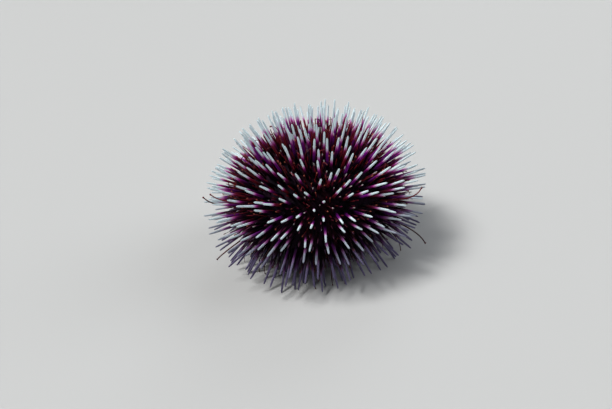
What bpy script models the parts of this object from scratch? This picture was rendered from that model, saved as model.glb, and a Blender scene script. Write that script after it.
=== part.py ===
"""A life-size violet sea urchin, standing on the tips of its lower spines.

The shell, or test, is ten wedges: five broad interambulacra and, between them, five narrower
ambulacra. Each carries its own spines, in two columns of rows as the shell's plates lie, and the
ambulacra carry the tube feet. An apical disc closes the shell above, and the mouth's membrane
with five teeth below. Metres, +Z up. The origin is on the floor, under the middle of the animal.
"""

import math

import bmesh
import bpy
import numpy as np
from mathutils import Vector

# The gap that neighbouring pieces keep
GAP = 0.0003
SEED = 7

# The shell: its widest level stands at AMBITUS above the floor
SHELL_RADIUS = 0.040
AMBITUS = 0.030
SHELL_RISE = 0.0295
SHELL_DROP = 0.021
ROUNDNESS_ABOVE = 2.15
ROUNDNESS_BELOW = 2.6
RAYS = 5
BROAD_SHARE = 0.6
OUTLINE_POINTS = 13
BROAD_COLUMNS = 4
NARROW_COLUMNS = 3

# The apical disc on top
DISC_RADIUS = 0.0065
DISC_DEPTH = 0.003
DISC_SIDES = 20
PLATE_RING = 0.0044
PLATE_RADIUS = 0.0015
PLATE_RISE = 0.0005
PLATE_SIDES = 5
PLATE_TAPER = 0.8
SIEVE_PLATE_RADIUS = 0.0019
SIEVE_PLATE_RAY = 1
CENTRE_RADIUS = 0.0023
CENTRE_RISE = 0.0008
CENTRE_SIDES = 8
CENTRE_TAPER = 0.5
DISC_SPINE_LENGTH = 0.011
DISC_SPINE_WIDTH = 0.8
DISC_SPINE_ASIDE = 0.0016
DISC_SPINE_OUT = 0.0004
DISC_LEAN_OUT = 0.2
DISC_LEAN_ASIDE = 0.12

# The mouth's membrane and teeth below
MOUTH_RADIUS = 0.0100
MOUTH_DEPTH = 0.003
MOUTH_SIDES = 30
LIP_FALL = 0.0006
LIP_WIDTH = 0.001
TEETH_RADIUS = 0.0036
TOOTH_COLUMNS = 2
TOOTH_TIP_RADIUS = 0.0009
TOOTH_TIP_HEIGHT = 0.0062

# The spines: one for each PITCH of a row, and a row for each PITCH down the shell. A row is
# ROW_STEPS of the outline long, and each column starts after its own number of them
PITCH = 0.0050
ROW_STEPS = 4
COLUMN_STARTS = {-1: 1, 1: 3}
EXTRA_SPINE_SHARE = 0.4
SPINE_LENGTH = 0.0205
SPINE_ROOT_RADIUS = 0.00085
SPINE_TIP_RADIUS = 0.00058
SPINE_SIDES = 4
ROOT_DEPTH = 0.002
MOST_DRAW = 1.6
PLACE_JITTER = 0.12
LEAN_JITTER = math.radians(3.5)
LENGTH_JITTER = 0.04
LIFTED_DRAW = -0.4
LIFT = 0.0024
LIFT_JITTER = 0.3

# The tube feet: slender, with a sucker at the tip. Those of the lowest rows stand on the floor
FOOT_RADIUS = 0.00036
FOOT_SIDES = 4
FOOT_RINGS = 7
FOOT_REACH = 0.0205
FOOT_STIFFNESS = 0.75
CURL = 0.0055
CURLING_ROWS = (0.34, 0.5)
STANDING_ROWS = (0.68,)
STANDING_REACH = (0.006, 0.012)
FOOT_SAMPLES = 30
FOOT_TRIES = 40
SUCKER_RADIUS = 0.00085
SUCKER_THICKNESS = 0.0005

VIOLET = (0.20, 0.03, 0.16)
DARK_VIOLET = (0.10, 0.02, 0.09)
DARK_RED = (0.16, 0.05, 0.08)
IVORY = (0.85, 0.82, 0.75)


def shell_point(turn):
    """Radius and height of the shell's outline, for turns from 0 at the apex to pi at the mouth."""
    side, rise = math.sin(turn), math.cos(turn)
    power = 2 / (ROUNDNESS_ABOVE if rise >= 0 else ROUNDNESS_BELOW)
    reach = SHELL_RISE if rise >= 0 else -SHELL_DROP
    return SHELL_RADIUS * side**power, AMBITUS + reach * abs(rise) ** power


def shell_normal(radius, height):
    """The outward direction of the shell's outline, as its radial and upward parts."""
    above = height >= AMBITUS
    power = (ROUNDNESS_ABOVE if above else ROUNDNESS_BELOW) - 1
    reach = SHELL_RISE if above else SHELL_DROP
    out = (radius / SHELL_RADIUS) ** power / SHELL_RADIUS
    up = (abs(height - AMBITUS) / reach) ** power / reach * (1 if above else -1)
    size = math.hypot(out, up)
    return out / size, up / size


def shell_outline():
    """Close points down the shell from the rim of the apical disc to that of the mouth."""
    points = [shell_point(turn) for turn in np.linspace(0, math.pi, 1441)[1:-1]]
    rims = (DISC_RADIUS + GAP, MOUTH_RADIUS + GAP)
    return np.array([p for p in points if p[0] > (rims[0] if p[1] > AMBITUS else rims[1])])


def evenly(outline, count):
    """That many points of the outline, evenly spaced along it."""
    steps = np.linalg.norm(np.diff(outline, axis=0), axis=1)
    along = np.concatenate([[0], np.cumsum(steps)])
    wanted = np.linspace(0, along[-1], count)
    return np.column_stack([np.interp(wanted, along, outline[:, k]) for k in (0, 1)])


def length_of(outline):
    """The outline's length."""
    return np.linalg.norm(np.diff(outline, axis=0), axis=1).sum()


def finished(name, mesh, colour, roughness=0.7):
    """A bmesh as a named object, closed and facing out, with its own material."""
    bmesh.ops.remove_doubles(mesh, verts=mesh.verts, dist=0.00001)
    bmesh.ops.recalc_face_normals(mesh, faces=mesh.faces)
    data = bpy.data.meshes.new(name)
    mesh.to_mesh(data)
    mesh.free()
    part = bpy.data.objects.new(name, data)
    bpy.context.scene.collection.objects.link(part)
    material = bpy.data.materials.new(name)
    material.use_nodes = True
    shader = material.node_tree.nodes["Principled BSDF"]
    shader.inputs["Base Color"].default_value = (*colour, 1)
    shader.inputs["Roughness"].default_value = roughness
    data.materials.append(material)
    return part


def wedge(name, middle, half, outline, columns, colour):
    """A slice of a turned body: outline starts and ends on the axis, with GAP left beside it."""
    mesh = bmesh.new()
    edge_shift = GAP / 2 / math.sin(half)
    inner = (edge_shift * math.cos(middle), edge_shift * math.sin(middle))
    axis = {
        i: mesh.verts.new((*inner, height))
        for i, (radius, height) in enumerate(outline)
        if radius == 0
    }
    rings = []
    for column in range(columns + 1):
        angle = middle + half * (2 * column / columns - 1)
        aside = GAP / 2 * {0: 1, columns: -1}.get(column, 0)
        ring = []
        for i, (radius, height) in enumerate(outline):
            if i in axis:
                ring.append(axis[i])
                continue
            along = math.sqrt(radius**2 - aside**2)
            x = along * math.cos(angle) - aside * math.sin(angle)
            y = along * math.sin(angle) + aside * math.cos(angle)
            ring.append(mesh.verts.new((x, y, height)))
        rings.append(ring)
    for left, right in zip(rings, rings[1:]):
        for i in range(len(outline) - 1):
            corners = dict.fromkeys((left[i], left[i + 1], right[i + 1], right[i]))
            mesh.faces.new(list(corners))
    mesh.faces.new(rings[0])
    mesh.faces.new(rings[-1])
    return finished(name, mesh, colour)


def turned(name, outline, sides, colour):
    """A closed body turned round the axis from its outline."""
    mesh = bmesh.new()
    corners = [mesh.verts.new((radius, 0, height)) for radius, height in outline]
    edges = [mesh.edges.new(pair) for pair in zip(corners, corners[1:])]
    bmesh.ops.spin(
        mesh,
        geom=[*corners, *edges],
        cent=(0, 0, 0),
        axis=(0, 0, 1),
        angle=2 * math.pi,
        steps=sides,
        use_merge=True,
    )
    return finished(name, mesh, colour)


def swept(name, points, radii, sides, on_floor=False):
    """A closed tapered rod through the points; on_floor cuts its end flat at floor level."""
    mesh = bmesh.new()
    last = len(points) - 1
    heading = (points[1] - points[0]).normalized()
    turn = heading.to_track_quat("Z", "Y")
    rings = []
    for i, (point, radius) in enumerate(zip(points, radii)):
        now = (points[min(i + 1, last)] - points[max(i - 1, 0)]).normalized()
        turn = heading.rotation_difference(now) @ turn
        heading = now
        angles = [2 * math.pi * (k + 0.5) / sides for k in range(sides)]
        rim = [Vector((radius * math.cos(a), radius * math.sin(a), 0)) for a in angles]
        rings.append([mesh.verts.new(point + turn @ offset) for offset in rim])
    if on_floor:
        for corner in rings[-1]:
            corner.co -= heading * (corner.co.z / heading.z)
    for lower, upper in zip(rings, rings[1:]):
        for k in range(sides):
            after = (k + 1) % sides
            mesh.faces.new((lower[k], lower[after], upper[after], upper[k]))
    mesh.faces.new(rings[0])
    mesh.faces.new(rings[-1])
    return finished(name, mesh, DARK_VIOLET)


def fused(base, pieces):
    """Joins the pieces to the base as one closed body and removes them."""
    group = bpy.data.collections.new(base.name + "_pieces")
    bpy.context.scene.collection.children.link(group)
    for piece in pieces:
        group.objects.link(piece)
    join = base.modifiers.new("join", "BOOLEAN")
    join.operation = "UNION"
    join.operand_type = "COLLECTION"
    join.collection = group
    join.solver = "EXACT"
    graph = bpy.context.evaluated_depsgraph_get()
    joined = bpy.data.meshes.new_from_object(base.evaluated_get(graph))
    base.modifiers.clear()
    base.data = joined
    for piece in pieces:
        bpy.data.objects.remove(piece)
    bpy.data.collections.remove(group)
    keep_largest(joined)
    return base


def keep_largest(data):
    """Leaves only the mesh's largest closed surface."""
    mesh = bmesh.new()
    mesh.from_mesh(data)
    waiting, surfaces = set(mesh.verts), []
    while waiting:
        found, edge = set(), [waiting.pop()]
        while edge:
            corner = edge.pop()
            found.add(corner)
            beside = {line.other_vert(corner) for line in corner.link_edges} & waiting
            waiting -= beside
            edge += beside
        surfaces.append(found)
    largest = max(surfaces, key=len)
    dropped = [corner for corner in mesh.verts if corner not in largest]
    bmesh.ops.delete(mesh, geom=dropped, context="VERTS")
    mesh.to_mesh(data)
    mesh.free()


def sectors():
    """The ten wedges of the shell: name, middle angle, half width in radians, and if broad."""
    step = 2 * math.pi / RAYS
    for ray in range(RAYS):
        front = -math.pi / 2 + ray * step
        yield f"ambulacrum_{ray + 1}", front, step * (1 - BROAD_SHARE) / 2, False
        yield f"interambulacrum_{ray + 1}", front + step / 2, step * BROAD_SHARE / 2, True


def on_shell(radius, height, angle):
    """A point of the shell and its outward direction there."""
    out, up = shell_normal(radius, height)
    point = Vector((radius * math.cos(angle), radius * math.sin(angle), height))
    return point, Vector((out * math.cos(angle), out * math.sin(angle), up))


def leaning(direction, angle, draws):
    """The direction, leant a little down the shell and round it by the two draws."""
    round_it = Vector((-math.sin(angle), math.cos(angle), 0))
    down_it = direction.cross(round_it)
    lean = [math.tan(LEAN_JITTER * draw) for draw in draws]
    return (direction + round_it * lean[0] + down_it * lean[1]).normalized()


def row_places():
    """Points down the outline, ROW_STEPS for each row of spines, and the number of rows."""
    outline = shell_outline()
    rows = round(length_of(outline) / PITCH)
    return evenly(outline, ROW_STEPS * rows + 1), rows


def spine_places(middle, half, rng):
    """Each spine of a sector, column by column and row by row.

    It yields root, direction, length, and whether the spine stands on the floor.
    """
    places, rows = row_places()
    for side, start in COLUMN_STARTS.items():
        for first in range(start, ROW_STEPS * rows, ROW_STEPS):
            count = int(half * places[first][0] / PITCH + EXTRA_SPINE_SHARE)
            for k in range(count):
                draws = np.clip(rng.normal(size=6), -MOST_DRAW, MOST_DRAW)
                across = (k + 0.5 + PLACE_JITTER * draws[0]) / count
                angle = middle + side * half * across
                step = first + ROW_STEPS * PLACE_JITTER * draws[1]
                step = min(max(step, 1), ROW_STEPS * rows - 1)
                whole = int(step)
                share = step - whole
                radius, height = places[whole] * (1 - share) + places[whole + 1] * share
                point, direction = on_shell(radius, height, angle)
                direction = leaning(direction, angle, draws[2:4])
                yield point, direction, *spine_reach(point, direction, draws[4:])


def spine_reach(point, direction, draws):
    """A spine's length, and if it stands on the floor."""
    length = SPINE_LENGTH * (1 + LENGTH_JITTER * draws[0])
    if point.z + length * direction.z > SPINE_TIP_RADIUS:
        return length, False
    to_floor = point.z / -direction.z
    if draws[1] < LIFTED_DRAW:
        return to_floor - LIFT * (1 + LIFT_JITTER * draws[0]), False
    return to_floor, True


def spine(point, direction, length, on_floor):
    """One spine: a tapered rod, sunk into the shell at its root."""
    root = point - direction * ROOT_DEPTH
    tip = point + direction * length
    radii = (SPINE_ROOT_RADIUS, SPINE_TIP_RADIUS)
    return swept("spine", (root, tip), radii, SPINE_SIDES, on_floor)


def curve_points(corners, count):
    """That many points of the cubic curve that the four corners steer."""
    steps = [k / (count - 1) for k in range(count)]
    weights = [((1 - t) ** 3, 3 * t * (1 - t) ** 2, 3 * t**2 * (1 - t), t**3) for t in steps]
    return [sum((c * w for c, w in zip(corners, row)), Vector()) for row in weights]


def foot_corners(point, direction, standing, draws):
    """The corners that steer a tube foot's curve: out of the shell, then down or curling aside."""
    root = point - direction * ROOT_DEPTH
    elbow = point + direction * FOOT_REACH * FOOT_STIFFNESS
    if not standing:
        aside = (Vector(draws[:3]) - direction * direction.dot(Vector(draws[:3]))).normalized()
        return root, elbow, point + direction * FOOT_REACH, elbow + aside * CURL + direction * CURL
    out = Vector((point.x, point.y, 0)).normalized()
    aside = out.cross(Vector((0, 0, 1)))
    near, far = STANDING_REACH
    sole = Vector((point.x, point.y, 0)) + out * (near + (far - near) * abs(draws[0]))
    sole += aside * draws[1] * near / 2
    sole.z = 2 * SUCKER_THICKNESS
    return root, point + direction * near, sole + Vector((0, 0, point.z / 2)), sole


def clearance(points, spines):
    """The smallest distance from the points to the middle lines of the spines."""
    roots, headings, lengths = spines
    offsets = np.array(points)[:, None, :] - roots
    along = np.clip((offsets * headings).sum(axis=2), 0, lengths)
    return np.linalg.norm(offsets - along[..., None] * headings, axis=2).min()


def tube_foot(point, direction, standing, spines, rng):
    """A tube foot: of a few ways out between the spines the clearest, with a sucker at its tip."""
    ways = []
    for _ in range(FOOT_TRIES):
        draws = rng.uniform(-1, 1, size=3)
        corners = foot_corners(point, direction, standing, draws)
        samples = curve_points(corners, FOOT_SAMPLES)
        ways.append((clearance(samples, spines), corners))
    corners = max(ways, key=lambda way: way[0])[1]
    points = curve_points(corners, FOOT_RINGS)
    heading = Vector((0, 0, -1)) if standing else (points[-1] - points[-2]).normalized()
    points += [points[-1] + heading * SUCKER_THICKNESS * k for k in (1, 2)]
    radii = [FOOT_RADIUS] * FOOT_RINGS + [SUCKER_RADIUS] * 2
    return swept("tube_foot", points, radii, FOOT_SIDES, standing)


def tube_feet(middle, half, spines, rng):
    """The tube feet of one ambulacrum, in pairs."""
    places, rows = row_places()
    for share in (*CURLING_ROWS, *STANDING_ROWS):
        for side, start in COLUMN_STARTS.items():
            step = ROW_STEPS * round(share * rows) + start + ROW_STEPS // 2
            point, direction = on_shell(*places[step], middle + side * half / 2)
            yield tube_foot(point, direction, share in STANDING_ROWS, spines, rng)


def shell_sectors():
    """The ten wedges of the shell, each fused with its spines and tube feet."""
    rng = np.random.default_rng(SEED)
    grown = {
        name: list(spine_places(middle, half, rng)) for name, middle, half, _ in sectors()
    }
    every = [place for places in grown.values() for place in places]
    spines = [np.array([place[k] for place in every]) for k in range(3)]
    top = AMBITUS + SHELL_RISE - DISC_DEPTH
    bottom = AMBITUS - SHELL_DROP + MOUTH_DEPTH
    surface = evenly(shell_outline(), OUTLINE_POINTS).tolist()
    rim, lip = surface[0][0], surface[-1][0]
    outline = [(0, top), (rim, top), *surface, (lip, bottom), (0, bottom)]
    for name, middle, half, broad in sectors():
        columns = BROAD_COLUMNS if broad else NARROW_COLUMNS
        base = wedge(name, middle, half, outline, columns, VIOLET)
        pieces = [spine(*place) for place in grown[name]]
        if not broad:
            pieces += tube_feet(middle, half, spines, rng)
        fused(base, pieces)


def apical_disc():
    """The disc on top: five genital plates, one of them the sieve plate, round a low centre."""
    crown = AMBITUS + SHELL_RISE
    floor = crown - DISC_DEPTH + GAP
    rim = shell_outline()[0][1]
    outline = [(0, floor), (DISC_RADIUS, floor), (DISC_RADIUS, rim), (0, crown)]
    base = turned("apical_disc", outline, DISC_SIDES, DARK_VIOLET)
    up = Vector((0, 0, 1))
    centre = Vector((0, 0, crown - DISC_DEPTH / 2))
    top = Vector((0, 0, crown + CENTRE_RISE))
    widths = (CENTRE_RADIUS, CENTRE_RADIUS * CENTRE_TAPER)
    pieces = [swept("centre", (centre, top), widths, CENTRE_SIDES)]
    for ray in range(RAYS):
        angle = -math.pi / 2 + (ray + 0.5) * 2 * math.pi / RAYS
        out = Vector((math.cos(angle), math.sin(angle), 0))
        middle = centre + out * PLATE_RING
        face = top + out * PLATE_RING + up * (PLATE_RISE - CENTRE_RISE)
        width = SIEVE_PLATE_RADIUS if ray == SIEVE_PLATE_RAY else PLATE_RADIUS
        widths = (width, width * PLATE_TAPER)
        pieces.append(swept("plate", (middle, face), widths, PLATE_SIDES))
        for side in (-1, 1):
            aside = side * up.cross(out)
            lean = (up + DISC_LEAN_OUT * out + DISC_LEAN_ASIDE * aside).normalized()
            root = middle + DISC_SPINE_ASIDE * aside + DISC_SPINE_OUT * out
            tip = root + lean * (DISC_DEPTH / 2 + DISC_SPINE_LENGTH)
            widths = (SPINE_ROOT_RADIUS * DISC_SPINE_WIDTH, SPINE_TIP_RADIUS * DISC_SPINE_WIDTH)
            pieces.append(swept("spine", (root, tip), widths, SPINE_SIDES))
    fused(base, pieces)


def mouth():
    """The membrane round the mouth, a ring, and the five teeth that show in it."""
    sole = AMBITUS - SHELL_DROP
    ceiling = sole + MOUTH_DEPTH - GAP
    ring = [(TEETH_RADIUS, ceiling), (MOUTH_RADIUS, ceiling), (MOUTH_RADIUS, sole + LIP_FALL)]
    ring += [(TEETH_RADIUS + LIP_WIDTH, sole - LIP_FALL), (TEETH_RADIUS, sole), ring[0]]
    turned("mouth_membrane", ring, MOUTH_SIDES, DARK_RED)
    tooth = [(0, ceiling), (TEETH_RADIUS - GAP, ceiling), (TEETH_RADIUS - GAP, sole)]
    tooth += [(TOOTH_TIP_RADIUS, TOOTH_TIP_HEIGHT), (0, TOOTH_TIP_HEIGHT)]
    half = math.pi / RAYS
    for ray in range(RAYS):
        middle = half + 2 * half * ray - math.pi / 2
        wedge(f"tooth_{ray + 1}", middle, half, tooth, TOOTH_COLUMNS, IVORY)


def main():
    """Clears the scene and builds every piece."""
    for thing in list(bpy.data.objects):
        bpy.data.objects.remove(thing)
    shell_sectors()
    apical_disc()
    mouth()


main()
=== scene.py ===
"""Looks of a life-size violet sea urchin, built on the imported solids.

The shell's outline and the places of its long spines and of its first tube feet are worked out the
way the solids have them, from the same sizes and draws, so each finer spine lies on its solid one.
Every form is a whole array of points: a profile carried along paths, or a height over a grid.
Metres, +Z up, with the origin on the floor under the middle of the animal.
"""

import logging
import math
from collections.abc import Iterator
from dataclasses import dataclass, field
from enum import Enum

import bpy
import numpy as np
from mathutils import Matrix, Vector


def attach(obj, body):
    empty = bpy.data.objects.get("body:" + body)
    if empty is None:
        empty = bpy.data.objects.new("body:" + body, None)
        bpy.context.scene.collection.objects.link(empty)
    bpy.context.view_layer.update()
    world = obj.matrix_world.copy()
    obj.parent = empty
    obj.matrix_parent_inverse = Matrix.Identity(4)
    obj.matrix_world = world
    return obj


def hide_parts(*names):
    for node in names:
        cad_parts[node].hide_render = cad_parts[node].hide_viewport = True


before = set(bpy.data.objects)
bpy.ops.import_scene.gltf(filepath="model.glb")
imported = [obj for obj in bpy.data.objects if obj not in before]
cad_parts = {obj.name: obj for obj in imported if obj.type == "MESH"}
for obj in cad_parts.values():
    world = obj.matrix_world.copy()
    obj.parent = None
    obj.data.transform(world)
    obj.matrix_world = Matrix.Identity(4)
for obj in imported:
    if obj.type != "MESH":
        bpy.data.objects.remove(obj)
BODY = "root"
TURN = 2 * math.pi
FRONT = -math.pi / 2
UP = np.array([0.0, 0.0, 1.0])
LEVEL = np.array([1.0, 1.0, 0.0])
GROWTH = "growth"
LIE = "Lie"
BAKE = "OFBake"
BAKE_PATCH = 0.003
STEEP = 0.9
STRAIGHT = 0.05
SHORTEST = 1e-12
SHALLOWEST = 1e-6

log = logging.getLogger("urchin")

Colour = tuple[float, float, float]
Ends = tuple[float, float]
Profile = tuple[tuple[float, float], ...]
Block = tuple[np.ndarray, np.ndarray, np.ndarray]


class Slot(Enum):
    """The record's material slots."""

    SHELL = "spined_shell"
    DISC = "apical_plates"
    MEMBRANE = "membrane"
    TOOTH = "tooth"


# Small numpy tools


def unit(vectors: np.ndarray) -> np.ndarray:
    """The vectors at length one, along the last axis."""
    return vectors / np.maximum(np.linalg.norm(vectors, axis=-1, keepdims=True), SHORTEST)


def smooth_step(values: np.ndarray, low: float, high: float) -> np.ndarray:
    """Goes from 0 at low to 1 at high with a soft start and end: t squared times (3 - 2t)."""
    share = np.clip((values - low) / (high - low), 0, 1)
    return share * share * (3 - 2 * share)


def bell(values: np.ndarray) -> np.ndarray:
    """1 at 0 and less on both sides of it: e to the power of minus the square."""
    return np.exp(-(values**2))


def turns(count: int) -> np.ndarray:
    """That many angles, evenly round one turn."""
    return TURN * np.arange(count) / count


def outward(angles: np.ndarray) -> np.ndarray:
    """Level directions away from the axis: the cosine and the sine of the angle."""
    return np.stack([np.cos(angles), np.sin(angles), 0 * angles], axis=-1)


def unwrapped(angles: np.ndarray, shares: np.ndarray | float) -> np.ndarray:
    """Places on the unwrapped shell: round the axis from the front, and down the outline."""
    return np.stack(np.broadcast_arrays((angles - FRONT) / TURN % 1, shares), axis=-1)


def way_down(points: np.ndarray, headings: np.ndarray, level: float = 0.0) -> np.ndarray:
    """How far along its heading each point is from a level below it."""
    return (points[:, 2] - level) / np.maximum(-headings[:, 2], SHALLOWEST)


def straight(points: np.ndarray, headings: np.ndarray, reach: np.ndarray) -> np.ndarray:
    """Paths from the points along the headings, with one point at each reach."""
    return points[:, None] + headings[:, None] * reach[..., None]


def bezier(corners: np.ndarray, count: int) -> np.ndarray:
    """Points of cubic curves, each the four corners weighted by the Bernstein polynomials.

    Args:
        corners: one curve's four corners to a row, as (curves, 4, 3).
        count: how many points each curve gets, evenly in its parameter.

    Returns:
        The points as (curves, count, 3).
    """
    t = np.linspace(0, 1, count)
    weights = np.stack([(1 - t) ** 3, 3 * t * (1 - t) ** 2, 3 * t**2 * (1 - t), t**3])
    return np.einsum("kc,nkd->ncd", weights, corners)


# The shell's form, shared by every piece


@dataclass(frozen=True)
class Sector:
    """One wedge of the shell: its name, its middle and half angle, and if it is a broad one."""

    name: str
    middle: float
    half: float
    broad: bool

    def aside(self, angles: np.ndarray) -> np.ndarray:
        """How far the angles lie from the wedge's middle, the shorter way, 1 at its edges."""
        return np.abs((angles - self.middle + math.pi) % TURN - math.pi) / self.half


@dataclass(frozen=True)
class ShellForm:
    """The outline of the shell, a flattened round body, and the places on it."""

    radius: float = 0.040
    widest: float = 0.030
    rise: float = 0.0295
    drop: float = 0.021
    round_above: float = 2.15
    round_below: float = 2.6
    disc_radius: float = 0.0065
    disc_depth: float = 0.003
    mouth_radius: float = 0.0100
    mouth_depth: float = 0.003
    gap: float = 0.0003
    rays: int = 5
    broad_share: float = 0.6
    samples: int = 1441

    @property
    def crown(self) -> float:
        """Height of the shell's top."""
        return self.widest + self.rise

    @property
    def sole(self) -> float:
        """Height of the shell's underside."""
        return self.widest - self.drop

    @property
    def step(self) -> float:
        """Angle from one ray to the next."""
        return TURN / self.rays

    def between(self, ray: int) -> float:
        """Angle of the middle of the broad wedge after a ray."""
        return FRONT + (ray + 0.5) * self.step

    def outline(self) -> np.ndarray:
        """Radius and height down the shell, from the rim of the disc to that of the mouth.

        The radius is the widest radius times a power of the turn's sine, and the height is the
        widest level plus or minus a reach times a power of its cosine.

        Returns:
            (points, 2) radii and heights.
        """
        turn = np.linspace(0, math.pi, self.samples)[1:-1]
        above = np.cos(turn) >= 0
        power = 2 / np.where(above, self.round_above, self.round_below)
        reach = np.where(above, self.rise, -self.drop)
        radius = self.radius * np.sin(turn) ** power
        height = self.widest + reach * np.abs(np.cos(turn)) ** power
        rim = np.where(height > self.widest, self.disc_radius, self.mouth_radius) + self.gap
        return np.column_stack([radius, height])[radius > rim]

    def distances(self) -> np.ndarray:
        """How far down the outline each of its points is."""
        steps = np.linalg.norm(np.diff(self.outline(), axis=0), axis=1)
        return np.concatenate([[0], np.cumsum(steps)])

    def length(self) -> float:
        """Length of the outline."""
        return float(self.distances()[-1])

    def down(self, shares: np.ndarray) -> tuple[np.ndarray, np.ndarray]:
        """Radius and height at places down the outline.

        Args:
            shares: shares of the outline's length, 0 at the disc and 1 at the mouth.

        Returns:
            The radii and the heights there.
        """
        outline, along = self.outline(), self.distances()
        wanted = np.asarray(shares) * along[-1]
        return np.interp(wanted, along, outline[:, 0]), np.interp(wanted, along, outline[:, 1])

    def at(self, shares: np.ndarray, angles: np.ndarray) -> tuple[np.ndarray, np.ndarray]:
        """Points of the shell and the outward directions there.

        The direction is the gradient of the outline's own equation, turned to the angle.

        Args:
            shares: places down the outline, 0 to 1.
            angles: places round the axis, in radians.

        Returns:
            The points and the unit normals, each with a last axis of three.
        """
        radius, height = self.down(shares)
        above = height >= self.widest
        power = np.where(above, self.round_above, self.round_below) - 1
        reach = np.where(above, self.rise, self.drop)
        out = (radius / self.radius) ** power / self.radius
        up = (np.abs(height - self.widest) / reach) ** power / reach * np.where(above, 1, -1)
        level = outward(angles)
        points = radius[..., None] * level + height[..., None] * UP
        return points, unit(out[..., None] * level + up[..., None] * UP)

    def sectors(self) -> Iterator[Sector]:
        """The ten wedges in the solids' order.

        Returns:
            For each ray a narrow wedge and the broad one after it.
        """
        for ray in range(self.rays):
            half = self.step * (1 - self.broad_share) / 2
            yield Sector(f"ambulacrum_{ray + 1}", FRONT + ray * self.step, half, False)
            half = self.step * self.broad_share / 2
            yield Sector(f"interambulacrum_{ray + 1}", self.between(ray), half, True)


@dataclass
class Roots:
    """Where things grow from the shell: places, directions, lengths, stance and wedge."""

    share: np.ndarray
    angle: np.ndarray
    point: np.ndarray
    heading: np.ndarray
    length: np.ndarray
    standing: np.ndarray
    sector: np.ndarray

    def part(self, chosen: np.ndarray) -> "Roots":
        """Those of the chosen rows."""
        return Roots(*(getattr(self, name)[chosen] for name in self.__dataclass_fields__))


# Meshes from arrays


def strip_faces(rows: int, columns: int, loop: bool = False) -> tuple[np.ndarray, np.ndarray]:
    """Four-cornered faces over rows of points that close round, and their lie.

    Args:
        rows: how many rows.
        columns: how many points in a row, the last joined to the first.
        loop: true where the last row joins the first as well.

    Returns:
        (faces, 4) indices, and (faces, 4, 2) column share and row number of each corner.
    """
    row, column = np.meshgrid(np.arange(rows - (not loop)), np.arange(columns), indexing="ij")
    corner = np.array([[0, 0], [0, 1], [1, 1], [1, 0]])
    far = row.reshape(-1, 1) + corner[:, 0]
    wide = column.reshape(-1, 1) + corner[:, 1]
    faces = far % rows * columns + wide % columns
    return faces, np.stack([wide / columns, far.astype(float)], axis=-1)


def fan_faces(rows: int, columns: int) -> tuple[np.ndarray, np.ndarray]:
    """Three-cornered faces that shut the first and the last row with one point each.

    The two points follow the rows' own, the first row's before the last row's.

    Args:
        rows: how many rows.
        columns: how many points in a row.

    Returns:
        (faces, 3) indices, and (faces, 3, 2) column share and row number of each corner.
    """
    k = np.arange(columns)
    last, size = (rows - 1) * columns, rows * columns
    first = np.stack([(k + 1) % columns, k, 0 * k + size], axis=-1)
    final = np.stack([last + k, last + (k + 1) % columns, 0 * k + size + 1], axis=-1)
    sides = np.concatenate([np.stack([k + 1, k, k + 0.5], -1), np.stack([k, k + 1, k + 0.5], -1)])
    level = np.repeat([[0.0], [rows - 1.0]], columns, axis=0)
    lie = np.stack([sides / columns, level + np.zeros((1, 3))], axis=-1)
    return np.concatenate([first, final]), lie


@dataclass
class Piece:
    """A mesh under way: points, faces, and for each face corner its two UV places."""

    name: str
    points: list[np.ndarray] = field(default_factory=list)
    faces: list[np.ndarray] = field(default_factory=list)
    bake: list[np.ndarray] = field(default_factory=list)
    lie: list[np.ndarray] = field(default_factory=list)
    growth: list[np.ndarray] = field(default_factory=list)
    count: int = 0

    def add(self, points: np.ndarray, growth: np.ndarray, blocks: list[Block]) -> None:
        """Adds points, their growth values and the faces between them.

        Args:
            points: (n, 3) places.
            growth: (n, 3) values of each point, for its finish.
            blocks: faces as indices into these points, with for each face corner its place on
                the unwrapped shell and its place round and along the form.
        """
        for faces, bake, lie in blocks:
            self.faces.append(faces + self.count)
            self.bake.append(bake.reshape(-1, 2))
            self.lie.append(lie.reshape(-1, 2))
        self.points.append(points)
        self.growth.append(growth)
        self.count += len(points)

    def finished(self, slot: Slot, material: bpy.types.Material, *nodes: str) -> None:
        """Makes the object, in its place, riding on the body.

        Args:
            slot: not used.
            material: its material.
            *nodes: the solids that it stands for.
        """
        mesh = bpy.data.meshes.new(self.name)
        points = np.concatenate(self.points).astype(np.float32)
        corners = np.concatenate([block.reshape(-1) for block in self.faces])
        sizes = np.concatenate([np.full(len(block), block.shape[1]) for block in self.faces])
        starts = np.concatenate([[0], np.cumsum(sizes)[:-1]])
        growth = np.concatenate(self.growth).astype(np.float32)
        mesh.vertices.add(len(points))
        mesh.vertices.foreach_set("co", points.ravel())
        mesh.loops.add(len(corners))
        mesh.loops.foreach_set("vertex_index", corners.astype(np.int32))
        mesh.polygons.add(len(sizes))
        mesh.polygons.foreach_set("loop_start", starts.astype(np.int32))
        for name, blocks in ((BAKE, self.bake), (LIE, self.lie)):
            layer = mesh.uv_layers.new(name=name)
            layer.uv.foreach_set("vector", np.concatenate(blocks).astype(np.float32).ravel())
        mesh.attributes.new(GROWTH, "FLOAT_VECTOR", "POINT").data.foreach_set("vector", growth.ravel())
        mesh.update(calc_edges=True)
        mesh.validate()
        mesh.shade_smooth()
        mesh.materials.append(material)
        thing = bpy.data.objects.new(self.name, mesh)
        bpy.context.scene.collection.objects.link(thing)
        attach(thing, BODY)
        if nodes:
            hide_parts(*nodes)
        log.info("%s: %d triangles", self.name, (sizes - 2).sum())


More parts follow.
